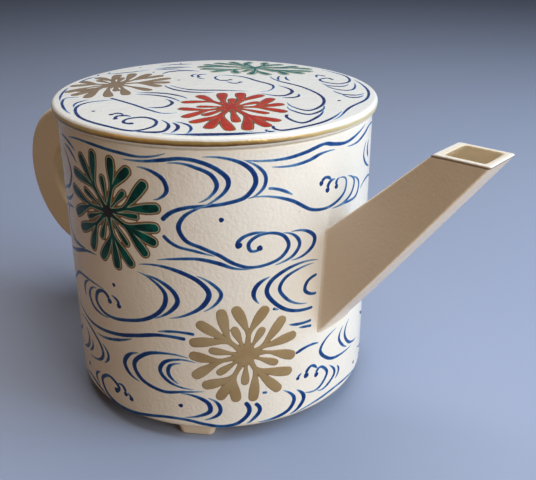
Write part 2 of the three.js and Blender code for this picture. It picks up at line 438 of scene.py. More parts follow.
def peel(nodes, where, depth=0.17):
    """The fine orange-peel surface of the glaze, depth in millimetres."""
    fine = nodes.noise(where, 680.0, 1.5)
    broad = nodes.noise(where, 90.0, 1.0)
    return nodes.bump(fine + broad * 1.2, depth)


def glaze_tone(nodes, where, light, warm):
    """Glaze colour: a broad drift from light to warm, small mottling, and a few iron specks."""
    drift = nodes.rise(nodes.noise(where, 16.0, 3.0), 0.35, 0.75)
    mottle = nodes.rise(nodes.noise(where, 420.0, 2.0), 0.45, 0.75)
    tone = nodes.mix(drift * 0.55 + mottle * 0.22, light, warm)
    speck = nodes.rise(nodes.noise(where, 330.0, 1.0), 0.80, 0.86)
    return nodes.mix(speck * 0.35, tone, IRON_SPECK)


def glaze(light, warm, gold_line=None, gold=None, outside=None, lean=None):
    """Cream glaze, with a brushed gold line between two heights, in millimetres.

    Gold is its dark and its bright colour, laid from the line's lower edge to its upper edge as painted
    shade and painted highlight, with random patches. Outside names a value that is 0 within the spout,
    where the glaze is painted darker and olive as shade and there is no gold; the lip above the line is
    then plain cream, without the spout's painted shade. Lean is a direction: on that side the line is
    broader and keeps its dark gold, and opposite it is thinner and mixed towards pale gold as a painted
    highlight.
    """

    def build(nodes):
        where = nodes.place()
        tone = glaze_tone(nodes, where, light, warm)
        roughness = nodes.noise(where, 60.0) * 0.12 + 0.16
        values = {"Roughness": roughness, "Normal": peel(nodes, where), "Specular IOR Level": 0.24}
        if not gold_line:
            return {"Base Color": tone, **values}
        low, high = (z * MM for z in gold_line)
        wobble = (nodes.noise(where, 110.0) - 0.5) * (GOLD_WOBBLE * MM)
        z = nodes.height(where) + wobble
        soft = GOLD_SOFTNESS * MM
        lift, painted_highlight = 0.0, 0.0
        # Opposite the lean the gold is mixed towards a pale colour: a painted highlight
        if lean:
            lift = nodes.dot(where, lean)
            painted_highlight = nodes.rise(lift * (-1 / MM), 0.05, 0.5) * 0.8
        above = nodes.rise(z - lift, high - soft, high + soft)
        band = nodes.rise(z, low - soft, low + soft) * (1 - above)
        if outside:
            shown = nodes.attribute(outside)
            band = band * shown
            # Inside the spout the glaze is painted darker as shade; the lip above the gold line keeps plain
            # cream, without the spout's painted shade
            tone = nodes.mix(shown, SPOUT_INSIDE_PAINTED_SHADE, nodes.mix(above, tone, CREAM))
        # The gold darkens from its top to its lower edge as painted shade and highlight, with random patches
        painted_shade_and_wear = nodes.rise(z, low, high) * 0.9 + (nodes.noise(where, 260.0, 3.0) - 0.5) * 0.4
        metal = nodes.mix(painted_highlight, nodes.mix(painted_shade_and_wear, *gold), PAINTED_GOLD_HIGHLIGHT)
        values["Base Color"] = nodes.mix(band, tone, metal)
        values["Metallic"] = band * (0.85 - painted_highlight * 0.7)
        values["Roughness"] = roughness + band * 0.14
        return values

    return build


def cobalt(thin, middle, full):
    """Cobalt under the glaze: dark where the brush was full, bluer and paler where it ran thin."""

    def build(nodes):
        where = nodes.place()
        pool = nodes.noise(where, 300.0, 3.0)
        depth = nodes.rise(nodes.attribute("tone") + (pool - 0.5) * 0.8, 0.15, 1.1)
        light = nodes.mix(nodes.rise(depth, 0.0, 0.5), thin, middle)
        return {
            "Base Color": nodes.mix(nodes.rise(depth, 0.35, 1.0), light, full),
            "Roughness": 0.24,
            "Specular IOR Level": 0.2,
            "Normal": peel(nodes, where),
        }

    return build


def enamel(core_dark, core_light, halo, outline, outline_width, halo_width, heart=None):
    """Overglaze enamel inside a drawn outline: the outline, a pale halo, then a glassy core that pools dark.

    Heart is the colour of the core where the petals meet.
    """

    def build(nodes):
        where = nodes.place()
        depth = nodes.attribute("depth") + (nodes.noise(where, 420.0, 2.0) - 0.5) * 0.22
        pool = nodes.rise(nodes.noise(where, 190.0, 3.0), 0.3, 0.75)
        core = nodes.mix(pool, core_dark, core_light)
        if heart:
            core = nodes.mix(nodes.rise(nodes.attribute("heart"), 5.5, 1.5), core, heart)
        line = nodes.mix(nodes.noise(where, 340.0, 3.0), outline[0], outline[1])
        inside = nodes.rise(depth, outline_width - 0.12, outline_width + 0.12)
        full = nodes.rise(depth, outline_width + halo_width - 0.15, outline_width + halo_width + 0.2)
        return {
            "Base Color": nodes.mix(inside, line, nodes.mix(full, halo, core)),
            "Roughness": 0.42 - full * 0.24,
            "Metallic": 0.3 - inside * 0.3,
            "Specular IOR Level": 0.14,
            "Normal": peel(nodes, where, 0.016),
        }

    return build


def gilding(edge, dark, light):
    """Matt burnished gold, a little uneven where the brush laid it thin and darker along its edge."""

    def build(nodes):
        where = nodes.place()
        patch = nodes.rise(nodes.noise(where, 70.0, 4.0), 0.3, 0.7)
        inside = nodes.rise(nodes.attribute("depth"), 0.0, 0.5)
        return {
            "Base Color": nodes.mix(inside, edge, nodes.mix(patch, dark, light)),
            "Metallic": 0.35 + patch * 0.15,
            "Roughness": 0.5 - patch * 0.1,
            "Normal": peel(nodes, where, 0.02),
        }

    return build


def bare_clay(light, dark, roughness):
    """Pale clay with sandy grain and a few darker grains."""

    def build(nodes):
        where = nodes.place()
        grain = nodes.noise(where, 900.0, 4.0)
        cloud = nodes.noise(where, 60.0, 3.0)
        spot = nodes.rise(nodes.noise(where, 500.0, 1.0), 0.72, 0.8)
        tone = nodes.mix(cloud * 0.6 + grain * 0.4, light, dark)
        return {
            "Base Color": nodes.mix(spot * 0.5, tone, CLAY_SPOT),
            "Roughness": grain * 0.15 + roughness,
            "Normal": nodes.bump(grain, 0.05),
        }

    return build


CREAM = srgb(248, 243, 236)
CREAM_WARM = srgb(242, 233, 222)
# The handle's glaze: a lighter, yellower copy of the pot's cream, painted light on the handle's shaded side
HANDLE_PAINTED_LIGHT_CREAM = srgb(255, 244, 220)
HANDLE_PAINTED_LIGHT_WARM = srgb(250, 234, 202)
# The spout's glaze: a warmer copy of the pot's cream, painted shade of its side away from the light
SPOUT_PAINTED_SHADE_CREAM = srgb(252, 237, 216)
SPOUT_PAINTED_SHADE_WARM = srgb(246, 228, 204)
# Darker, olive glaze inside the spout: painted shade
SPOUT_INSIDE_PAINTED_SHADE = srgb(238, 224, 200)
IRON_SPECK = srgb(150, 118, 84)
CLAY_SPOT = srgb(120, 92, 66)
# The lid's glaze: a greyer, cooler copy of the pot's cream, painted as the cool light that falls on its top
LID_WHITE_PAINTED_COOL_LIGHT = srgb(236, 235, 230)
LID_WARM_PAINTED_COOL_LIGHT = srgb(230, 226, 218)
GOLD_WOBBLE = 0.5
GOLD_SOFTNESS = 0.16
# Dark and bright gold of the lid's line, laid from its lower to its upper edge as painted shade and
# highlight
EDGE_GOLD = (srgb(110, 66, 28), srgb(234, 190, 108))
# Pale gold mixed into the lid's line on one side: a painted highlight
PAINTED_GOLD_HIGHLIGHT = srgb(255, 242, 190)
# The lean also sets the side where the painted highlight falls
GOLD_LEAN = (-0.0052, -0.0046, 0.0)  # rise of the lid's gold line for each unit along X and Y
# Dark and bright gold of the spout's mouth line, laid as painted shade below and painted highlight above
MOUTH_GOLD = (srgb(104, 74, 48), srgb(190, 160, 110))
BROWN_GOLD = (srgb(118, 80, 48), srgb(152, 112, 72))
OLIVE_GOLD = (srgb(84, 72, 44), srgb(116, 98, 60))
# Greyed gold outline of the lid's green bloom: painted reflection of the room
PALE_GOLD_PAINTED_REFLECTION = (srgb(128, 128, 106), srgb(160, 156, 132))

pot_glaze = finish("pot_glaze", glaze(CREAM, CREAM_WARM))
handle_glaze = finish("handle_glaze", glaze(HANDLE_PAINTED_LIGHT_CREAM, HANDLE_PAINTED_LIGHT_WARM))
spout_line = (MOUTH - MOUTH_LINE[0], MOUTH - MOUTH_LINE[1])
# The spout's glaze carries painted shade: warmer outside and darker inside
spout_glaze = finish(
    "spout_glaze",
    glaze(SPOUT_PAINTED_SHADE_CREAM, SPOUT_PAINTED_SHADE_WARM, gold_line=spout_line, gold=MOUTH_GOLD, outside="outside"),
)
lid_line = (RIM + GOLD_LINE[0], RIM + GOLD_LINE[1])
lid_glaze = finish(
    "lid_glaze",
    glaze(LID_WHITE_PAINTED_COOL_LIGHT, LID_WARM_PAINTED_COOL_LIGHT, gold_line=lid_line, gold=EDGE_GOLD, lean=GOLD_LEAN),
)
foot_clay = finish("foot_clay", bare_clay(srgb(240, 230, 215), srgb(226, 211, 190), roughness=0.45))
ring_clay = finish("ring_clay", bare_clay(srgb(222, 204, 178), srgb(198, 172, 140), roughness=0.7))
cobalt_ink = finish("cobalt_ink", cobalt(srgb(112, 154, 196), srgb(44, 94, 158), srgb(14, 50, 116)))
dark_cobalt_ink = finish("dark_cobalt_ink", cobalt(srgb(116, 158, 196), srgb(40, 84, 146), srgb(4, 24, 84)))
wall_gold = finish("wall_gold", gilding(srgb(144, 112, 70), srgb(166, 137, 94), srgb(190, 162, 115)))
lid_gold = finish("lid_gold", gilding(srgb(112, 90, 66), srgb(136, 114, 88), srgb(158, 134, 104)))
green_enamel = finish(
    "green_enamel",
    enamel(
        core_dark=srgb(0, 48, 40),
        core_light=srgb(0, 98, 88),
        halo=srgb(178, 206, 186),
        outline=BROWN_GOLD,
        outline_width=0.8,
        halo_width=0.2,
        heart=srgb(48, 36, 26),
    ),
)
# The lid's green bloom: paler and greyer than the wall's green, painted reflection of the room on the lid's
# far side
thin_green_enamel = finish(
    "thin_green_enamel",
    enamel(
        core_dark=srgb(18, 82, 78),
        core_light=srgb(54, 116, 108),
        halo=srgb(160, 186, 174),
        outline=PALE_GOLD_PAINTED_REFLECTION,
        outline_width=0.7,
        halo_width=0.34,
    ),
)
red_enamel = finish(
    "red_enamel",
    enamel(
        core_dark=srgb(166, 34, 0),
        core_light=srgb(192, 52, 4),
        halo=srgb(205, 110, 84),
        outline=OLIVE_GOLD,
        outline_width=0.62,
        halo_width=0.1,
    ),
)


# Pot


def port_distance(y, z):
    """Distance out of the rounded rectangle of the port, negative inside it."""
    over_y = np.abs(y) - (PORT_SIZE[0] / 2 - PORT_CORNER)
    over_z = np.abs(z - PORT_MIDDLE) - (PORT_SIZE[1] / 2 - PORT_CORNER)
    outside = np.hypot(np.maximum(over_y, 0), np.maximum(over_z, 0))
    return outside + np.minimum(np.maximum(over_y, over_z), 0) - PORT_CORNER


def snap_to(distance, first, second, step=SNAP_PROBE):
    """Moves points in a plane onto the line where a distance is 0, along its slope, in a few steps."""
    for _ in range(SNAP_STEPS):
        value = distance(first, second)
        slope_first = (distance(first + step, second) - distance(first - step, second)) / (2 * step)
        slope_second = (distance(first, second + step) - distance(first, second - step)) / (2 * step)
        square = np.maximum(slope_first**2 + slope_second**2, SNAP_LEAST)
        first = first - value * slope_first / square
        second = second - value * slope_second / square
    return first, second


def pot_profile():
    """The pot's profile as (radius, z): out from the axis, up the outside, over the rim and down the inside.

    Gives it with the heights of the wall's rows and the numbers of the first outer and first inner one.
    """
    bore = POT_RADIUS - WALL
    heel = POT_RADIUS - HEEL_ROUND
    inner_heel = bore - INNER_HEEL_ROUND
    heights = np.linspace(UNDERSIDE + WALL_MARGINS[0], RIM - WALL_MARGINS[1], WALL_ROWS)
    before = [(r, UNDERSIDE) for r in (*UNDERSIDE_RINGS, heel - STRAIGHT)]
    before += arc(heel, UNDERSIDE + HEEL_ROUND, HEEL_ROUND, -90, 0)
    before += [(POT_RADIUS, UNDERSIDE + HEEL_ROUND + STRAIGHT)]
    between = [(POT_RADIUS, RIM - RIM_ROUND - STRAIGHT / 2)]
    between += arc(POT_RADIUS - RIM_ROUND, RIM - RIM_ROUND, RIM_ROUND, 0, 90)
    between += arc(bore + INNER_RIM_ROUND, RIM - INNER_RIM_ROUND, INNER_RIM_ROUND, 90, 180)
    between += [(bore, RIM - INNER_RIM_ROUND - STRAIGHT / 2)]
    after = [(bore, FLOOR_TOP + INNER_HEEL_ROUND + STRAIGHT)]
    after += arc(inner_heel, FLOOR_TOP + INNER_HEEL_ROUND, INNER_HEEL_ROUND, 0, -90)
    after += [(r, FLOOR_TOP) for r in (inner_heel - STRAIGHT, *FLOOR_RINGS)]
    outside = [(POT_RADIUS, z) for z in heights]
    inside = [(bore, z) for z in heights[::-1]]
    outer_start = len(before)
    inner_start = outer_start + WALL_ROWS + len(between)
    return np.array(before + outside + between + inside + after), heights, outer_start, inner_start


def port_cells(angle, heights):
    """Which cells of the wall, between two rows and two columns, have their middle in the port."""
    middle_y = (POT_RADIUS - WALL / 2) * np.sin((angle + np.roll(angle, -1)) / 2)
    middle_y[-1] = POT_RADIUS
    middle_z = (heights[1:] + heights[:-1]) / 2
    return (port_distance(middle_y[None, :], middle_z[:, None]) < 0) & (np.cos(angle) > 0)


def port_border(hole):
    """Which points of the wall touch a cell of the hole and a cell of the wall."""
    touched = np.zeros((WALL_ROWS, hole.shape[1]), int)
    for down in (0, 1):
        for along in (0, 1):
            touched[down : down + WALL_ROWS - 1] += np.roll(hole, along, 1)
    return (touched > 0) & (touched < 4)


def port_faces(hole, outer, inner):
    """Quads through the wall's thickness that join the hole's outline outside to its outline inside."""
    row, column = np.nonzero(hole[1:] != hole[:-1])
    row = row + 1
    level = [outer(row, column), outer(row, column + 1), inner(row, column + 1), inner(row, column)]
    row, column = np.nonzero(hole != np.roll(hole, -1, 1))
    column = column + 1
    upright = [outer(row, column), outer(row + 1, column), inner(row + 1, column), inner(row, column)]
    return [np.stack(level, -1), np.stack(upright, -1)]


def pot_body():
    """The pot turned in one profile, outside and inside, with the port through the wall behind the spout.

    Rows of the wall lie at the same heights inside and out. Cells of the wall whose middle falls in the
    port are left out, the points round the hole are drawn onto the port's outline, and the outline outside
    is joined to the one inside.
    """
    profile, heights, outer_start, inner_start = pot_profile()
    port_reach = PORT_REACH / POT_RADIUS
    fine = np.linspace(-port_reach, port_reach, PORT_COLUMNS, endpoint=False)
    coarse = np.linspace(port_reach, 2 * math.pi - port_reach, POT_COLUMNS, endpoint=False)
    angle = np.concatenate([fine, coarse])
    columns = len(angle)
    radius = profile[:, :1] + 0 * angle
    y = radius * np.sin(angle)
    z = profile[:, 1:] + 0 * angle

    hole = port_cells(angle, heights)
    border = port_border(hole)
    for start, order in ((outer_start, 1), (inner_start, -1)):
        rows = slice(start, start + WALL_ROWS)
        mask = border[::order]
        y[rows][mask], z[rows][mask] = snap_to(port_distance, y[rows][mask], z[rows][mask])
    x = np.sign(np.cos(angle)) * np.sqrt(np.maximum(radius**2 - y**2, 0))
    ends = np.array([[0, 0, UNDERSIDE], [0, 0, FLOOR_TOP]])
    points = np.concatenate([np.stack([x, y, z], -1).reshape(-1, 3), ends])

    faces = grid_faces(len(profile), columns, False, True)
    keep = np.ones(faces.shape[:2], bool)
    keep[outer_start : outer_start + WALL_ROWS - 1] &= ~hole
    keep[inner_start : inner_start + WALL_ROWS - 1] &= ~hole[::-1]

    def outer(row, column):
        return (outer_start + row) * columns + column % columns

    def inner(row, column):
        return (inner_start + WALL_ROWS - 1 - row) * columns + column % columns

    first = np.arange(columns)
    last = first + (len(profile) - 1) * columns
    fans = [fan_faces(first, len(points) - 2), fan_faces(last, len(points) - 1)]
    used, faces = used_only(np.concatenate([faces[keep], *port_faces(hole, outer, inner), *fans]))
    make_piece("pot_body", points[used], faces, pot_glaze, "pot", "pot_glaze", ("pot_wall", "pot_floor"))


def tapered_foot(name, degrees):
    """A low block that narrows downwards, with a rounded sole edge; its top is let into the floor."""
    edge = np.radians(np.linspace(90, 0, 6))
    sole_cap, top_cap = FOOT_CAPS
    inset = np.concatenate([[FOOT_EDGE + sole_cap], FOOT_EDGE * (1 - np.cos(edge)), [0, 0, 0, top_cap]])
    top = UNDERSIDE + FOOT_LET_IN
    z = np.concatenate([[0], FOOT_EDGE * (1 - np.sin(edge)), [*FOOT_ROWS, top, top]])
    share = (FOOT_TAPER + (1 - FOOT_TAPER) * np.clip(z / UNDERSIDE, 0, 1))[:, None]
    depth = FOOT_DEPTH * share - 2 * inset[:, None]
    half = FOOT_WIDTH / 2 * share - inset[:, None]
    corner = np.maximum(FOOT_CORNER * share - inset[:, None], FOOT_LEAST_CORNER)
    u, y = rounded_loop(depth, half, corner, corner_steps=8, side_points=FOOT_SIDE_POINTS)
    x = u - depth / 2 + FOOT_MIDDLE
    turn = math.radians(degrees)
    turned_x = x * math.cos(turn) - y * math.sin(turn)
    turned_y = x * math.sin(turn) + y * math.cos(turn)
    rings = np.stack([turned_x, turned_y, z[:, None] + 0 * x], -1)
    points, faces = tube(rings, closed_ends=True)
    make_piece(name, points, faces, foot_clay, "pot", "foot_clay", (name,))


# Spout


def spout_sections(share, inset_share, outset=0.0):
    """Rings of the box spout, whose planes turn from the pot's wall, at share 0, to the level mouth, at 1.

    A ring's ends run along the spout's upper and lower edges, and its width is taken between the wall's and
    the mouth's. An inset share of 1 gives the inside, a wall's thickness in, and an outset in millimetres
    widens the ring. Near the root the ring bends round the pot.
    """
    share = np.array(share, float)[:, None]
    inset_share = np.array(inset_share, float)[:, None]
    outset = np.array(outset, float).reshape(-1, 1)
    upper_x = POT_RADIUS + (TIP - MOUTH_LENGTH - POT_RADIUS) * share
    lower_x = POT_RADIUS + (TIP - POT_RADIUS) * share
    upper_z = ROOT_UPPER + (MOUTH - ROOT_UPPER) * share
    lower_z = ROOT_LOWER + (MOUTH - ROOT_LOWER) * share
    length = np.hypot(lower_x - upper_x, lower_z - upper_z)
    slab = SPOUT_SLAB * inset_share
    side = SPOUT_SIDE_WALL * inset_share
    corner = SPOUT_EDGE * (1 + SPOUT_INNER_EDGE * inset_share) + outset
    middle_half = MOUTH_HALF - side + outset
    u, y = rounded_loop(length - 2 * slab + 2 * outset, middle_half, corner)
    u = u + slab - outset
    down = u / length
    root_half = ROOT_UPPER_HALF + (ROOT_LOWER_HALF - ROOT_UPPER_HALF) * down
    half = root_half + (MOUTH_HALF - root_half) * share
    y = y * (half - side + outset) / middle_half
    x = upper_x + (lower_x - upper_x) * down
    z = upper_z + (lower_z - upper_z) * down
    bend = np.sqrt(POT_RADIUS**2 - y**2) - POT_RADIUS
    return np.stack([x + bend * (1 - share) ** 3, y, z], -1)


def spout():
    """The outside from the wall up, over the rounded mouth rim and down the inside to the port."""
    fillet_share, body_share = SPOUT_LUTING_SHARES, SPOUT_BODY_SHARES
    drop = 1 - fillet_share / fillet_share[-1]
    fillet = LUTING_ROUND * (1 - np.sqrt(np.maximum(1 - drop**2, 0)))
    turn = np.radians(np.linspace(0, 90, 6))
    rim_share = 1 - MOUTH_ROUND + MOUTH_ROUND * np.sin(turn)
    rim_inset = MOUTH_ROUND_INSET * (1 - np.cos(turn))
    outer_share = np.concatenate([fillet_share, body_share, rim_share])
    outer_inset = np.concatenate([0 * fillet_share, 0 * body_share, rim_inset])
    outset = np.concatenate([fillet, 0 * body_share, 0 * rim_share])
    inner_share = np.concatenate([rim_share[::-1], body_share[::-1], SPOUT_PORT_SHARES])
    inner_inset = np.concatenate([1 - rim_inset[::-1], 1 + 0 * body_share, 1 + 0 * SPOUT_PORT_SHARES])
    outer = spout_sections(outer_share, outer_inset, outset)
    inner = spout_sections(inner_share, inner_inset)
    rings = np.concatenate([outer, inner])
    for row in (0, -1):
        rings[row, :, 0] = np.sqrt((POT_RADIUS - LET_IN) ** 2 - rings[row, :, 1] ** 2)
    outside = np.repeat(np.arange(len(rings)) < len(outer), rings.shape[1]).astype(float)
    points, faces = tube(rings, wrap_rows=True)
    nodes = ("spout_left_side", "spout_right_side", "spout_upper_slab", "spout_lower_slab")
    make_piece("spout", points, faces, spout_glaze, "pot", "pot_glaze", nodes, {"outside": outside})


def handle_line(arc_x, middle, radius):
    """A line of the handle as columns of x and z: level from the wall, round half a circle and back."""
    arm_x = -POT_RADIUS + (arc_x + POT_RADIUS) * ARM_SHARES
    arm_z = 0 * ARM_SHARES
    angle = np.radians(HANDLE_DEGREES)
    x = np.concatenate([arm_x, arc_x + radius * np.cos(angle), arm_x[::-1]])
    z = np.concatenate([middle + radius + arm_z, middle + radius * np.sin(angle), middle - radius + arm_z])
    return x[:, None], z[:, None]


def handle():
    """A thick loop cut from a slab: rounded rectangles between an outer line and the finger hole's line.

    The sections at the wall are widened by a small luting fillet and let into the wall.
    """
    outer_x, outer_z = handle_line(HANDLE_ARC_X, HANDLE_MIDDLE, HANDLE_RADIUS)
    inner_x, inner_z = handle_line(GRIP_X, GRIP_MIDDLE, GRIP_RADIUS)
    length = np.hypot(inner_x - outer_x, inner_z - outer_z)
    drop = np.clip(1 - ARM_SHARES / ARM_FILLET_SHARE, 0, 1)
    fillet = HANDLE_LUTING_ROUND * (1 - np.sqrt(1 - drop**2))
    outset = np.concatenate([fillet, 0 * HANDLE_DEGREES, fillet[::-1]])[:, None]
    half, edge = HANDLE_HALF + outset, HANDLE_EDGE + outset
    u, y = rounded_loop(length + 2 * outset, half, edge, corner_steps=8)
    down = (u - outset) / length
    x = outer_x + (inner_x - outer_x) * down
    z = outer_z + (inner_z - outer_z) * down
    near = np.concatenate([1 - ARM_SHARES, 0 * HANDLE_DEGREES, (1 - ARM_SHARES)[::-1]])[:, None] ** 3
    x -= (np.sqrt(POT_RADIUS**2 - y**2) - POT_RADIUS) * near
    rings = np.stack([x, y, z], -1)
    for row in (0, -1):
        rings[row, :, 0] = -np.sqrt((POT_RADIUS - LET_IN) ** 2 - rings[row, :, 1] ** 2)
    points, faces = tube(rings, closed_ends=True)
    make_piece("loop_handle", points, faces, handle_glaze, "pot", "pot_glaze", ("handle",))


# Lid


def lid_height(radius):
    """Height of the lid's upper face: a shallow crown, then the rounded edge."""
    shoulder = LID_RADIUS - LID_EDGE_ROUND
    crown = LID_TOP - LID_CROWN * (radius / shoulder) ** 4
    over = np.clip(radius - shoulder, 0, LID_EDGE_ROUND)
    edge = LID_TOP - LID_CROWN - LID_EDGE_ROUND + np.sqrt(LID_EDGE_ROUND**2 - over**2)
    return np.where(radius < shoulder, crown, edge)


def lid_cover():
    """The disc turned in one profile: flat seat, sloping under-edge, rounded edge and crown."""
    seat = RIM + LID_SEAT_GAP
    shoulder = LID_RADIUS - LID_EDGE_ROUND
    profile = [(r, seat) for r in LID_SEAT_RINGS]
    profile += arc(LID_SEAT_RADIUS, seat + LID_SEAT_ROUND, LID_SEAT_ROUND, -85, -25, steps=5)
    profile += [(LID_RADIUS - back, RIM + rise) for back, rise in LID_UNDER_EDGE]
    profile += arc(shoulder, LID_TOP - LID_CROWN - LID_EDGE_ROUND, LID_EDGE_ROUND, 0, 88, steps=12)
    profile += list(zip(LID_CROWN_RINGS, lid_height(LID_CROWN_RINGS)))
    points, faces = tube(turned(profile, LID_COLUMNS), closed_ends=True)
    make_piece("lid_cover", points, faces, lid_glaze, "lid", "lid_glaze", ("lid_disc",))


def lid_ring():
    """The locating ring luted under the lid, its edges rounded and its root spread a little."""
    outside = ring_high[0]
    inside = outside - RING_WALL
    low = ring_low[2]
    row = low + RING_FOOT_ROW
    top = RIM + LID_SEAT_GAP + RING_LET_IN
    profile = arc(outside - RING_EDGE, low + RING_EDGE, RING_EDGE, -90, 0, steps=6)
    profile += [(outside, row), *((outside + spread, top - down) for spread, down in RING_OUTER_ROOT)]
    profile += [*((inside - spread, top - down) for spread, down in RING_INNER_ROOT), (inside, row)]
    profile += arc(inside + RING_EDGE, low + RING_EDGE, RING_EDGE, 180, 270, steps=6)
    points, faces = tube(turned(profile, RING_COLUMNS), wrap_rows=True)
    make_piece("lid_ring", points, faces, ring_clay, "lid", "ring_clay", ("lid_locating_ring",))


# Painting surfaces


def on_wall(s, h, lift):
    """A place on the wall: s round it, h up from the floor's underside, lift off the glaze."""
    angle = s / POT_RADIUS - math.radians(PAINT_TURN)
    radius = POT_RADIUS + lift
    return np.stack([radius * np.cos(angle), radius * np.sin(angle), h + UNDERSIDE], -1)


def on_lid(across, away, lift):
    """A place on the lid: across to the camera's right, away from the camera, lift off the glaze."""
    turn = math.radians(VIEW_TURN)
    x = math.cos(turn) * across - math.sin(turn) * away
    y = math.sin(turn) * across + math.cos(turn) * away
    return np.stack([x, y, lid_height(np.hypot(x, y)) + lift], -1)


def wall_outward(points):
    return points * np.array([1, 1, 0])


def lid_outward(points):
    return np.zeros_like(points) + np.array([0, 0, 1])


# Brush lines


def smooth_path(knots):
    """A smooth curve through the knots, at even steps, and how far along it each of its points lies.

    It is made of cubic pieces, whose slopes average the chords beside them.
    """
    knots = np.array(knots, float)
    chord = np.sqrt(np.hypot(*np.diff(knots, axis=0).T))
    time = np.concatenate([[0], np.cumsum(chord)])
    speed = np.diff(knots, axis=0) / chord[:, None]
    slope = np.empty_like(knots)
    if len(knots) > 2:
        weight = (chord[:-1] / (chord[:-1] + chord[1:]))[:, None]
        slope[1:-1] = speed[:-1] * (1 - weight) + speed[1:] * weight
        slope[0] = 2 * speed[0] - slope[1]
        slope[-1] = 2 * speed[-1] - slope[-2]
    else:
        slope[:] = speed[0]
    moment = np.linspace(0, time[-1], CURVE_SAMPLES * len(knots))
    piece = np.clip(np.searchsorted(time, moment, "right") - 1, 0, len(chord) - 1)
    span = chord[piece][:, None]
    t = (moment[:, None] - time[piece][:, None]) / span
    start, end = knots[piece], knots[piece + 1]
    curve = (
        start * (1 + 2 * t) * (1 - t) ** 2
        + end * t * t * (3 - 2 * t)
        + slope[piece] * span * t * (1 - t) ** 2
        - slope[piece + 1] * span * t * t * (1 - t)
    )
    run = np.concatenate([[0], np.cumsum(np.hypot(*np.diff(curve, axis=0).T))])
    even = np.linspace(0, run[-1], max(BRUSH_LEAST_POINTS, int(run[-1] / BRUSH_STEP) + 1))
    return np.stack([np.interp(even, run, curve[:, 0]), np.interp(even, run, curve[:, 1])], -1), even


def brush_end(gone, width, is_round, taper):
    """Share of the full width at a distance from an end: a half circle if it is round, else a long taper."""
    if is_round:
        inside = np.clip(gone / (width / 2), 0, 1)
        return np.sqrt(1 - (1 - inside) ** 2)
    return np.clip(gone / taper, 0, 1) ** TAPER_POWER


def brush_line(knots, width, ends, layer, swell):
    """One stroke: seven points across, the outer two just under the glaze, so that it has no loose edge.

    The width is one number, or two for the stroke's start and end. Swell gives its share where the stroke
    runs across and where it runs upright, and the width of a full, dark brush. Its ends are round or taper.
    """
    path, run = smooth_path(knots)
    direction = np.gradient(path, axis=0)
    direction /= np.hypot(*direction.T)[:, None]
    upright = np.abs(direction[:, 1])
    across_share, upright_share, full_width = swell
    share = across_share + (upright_share - across_share) * upright / max(upright.max(), UPRIGHT_LEAST)
    taper = np.clip(run[-1] * TAPER_SHARE, *TAPER_LIMITS)
    middle_width = np.interp(run / run[-1], (0, 1), np.broadcast_to(width, 2))
    start_share = brush_end(run, middle_width[0], "s" in ends, taper)
    end_share = start_share * brush_end(run[-1] - run, middle_width[-1], "e" in ends, taper)
    half = middle_width / 2 * share * np.maximum(end_share, END_LEAST)
    full = np.clip(half / (full_width / 2), 0, 1)
    half = half + BRUSH_BLEED * np.minimum(end_share * 3, 1)
    side = np.stack([-direction[:, 1], direction[:, 0]], -1)
    place = path[:, None] + side[:, None] * half[:, None, None] * BRUSH_ACROSS[None, :, None]
    lift = np.full(place.shape[:2], PAINT_LIFT + layer)
    lift[:, [0, -1]] = -PAINT_SINK
    lift[[0, -1]] = -PAINT_SINK
    bleed = np.maximum(np.abs(BRUSH_ACROSS) - BLEED_START, 0)
    tone = (TONE_EMPTY + (1 - TONE_EMPTY) * full)[:, None] - bleed[None, :]
    return place, lift, tone


def brush_dot(centre, radius, layer):
    """A round touch of the brush: rings of points about its centre, the last one just under the glaze."""
    angle = np.linspace(0, 2 * math.pi, DOT_POINTS)
    share = DOT_RINGS[:, None]
    away = radius * share * (1 + DOT_WAVER * np.sin(3 * angle + centre[0]))
    place = np.stack([centre[0] + away * np.cos(angle), centre[1] + away * np.sin(angle)], -1)
    lift = np.full(place.shape[:2], PAINT_LIFT + layer)
    lift[-1] = -PAINT_SINK
    return place, lift, DOT_TONE[0] - DOT_TONE[1] * share + 0 * angle


def paint_lines(name, ink, strokes, dots, swell, surface, outward, body, slot, shift=0.0):
    """All strokes and dots of one painting in one mesh, laid on their surface in thin layers."""
    marks = []
    for index, (width, ends, knots) in enumerate(strokes):
        marks.append(brush_line(knots, width, ends, LAYER * (index % LAYERS), swell))
    marks += [brush_dot((u, v), radius, LAYER * (LAYERS + 1)) for u, v, radius in dots]
    points, faces, tones = [], [], []
    count = 0
    for place, lift, tone in marks:
        points.append(surface(place[..., 0] + shift, place[..., 1], lift).reshape(-1, 3))
        faces.append(grid_faces(*place.shape[:2]).reshape(-1, 4) + count)
        tones.append(tone.ravel())
        count += tone.size
    points = np.concatenate(points)
    values = {"tone": np.concatenate(tones)}
    make_piece(name, points, np.concatenate(faces), ink, body, slot, (), values, outward(points))


# Chrysanthemums


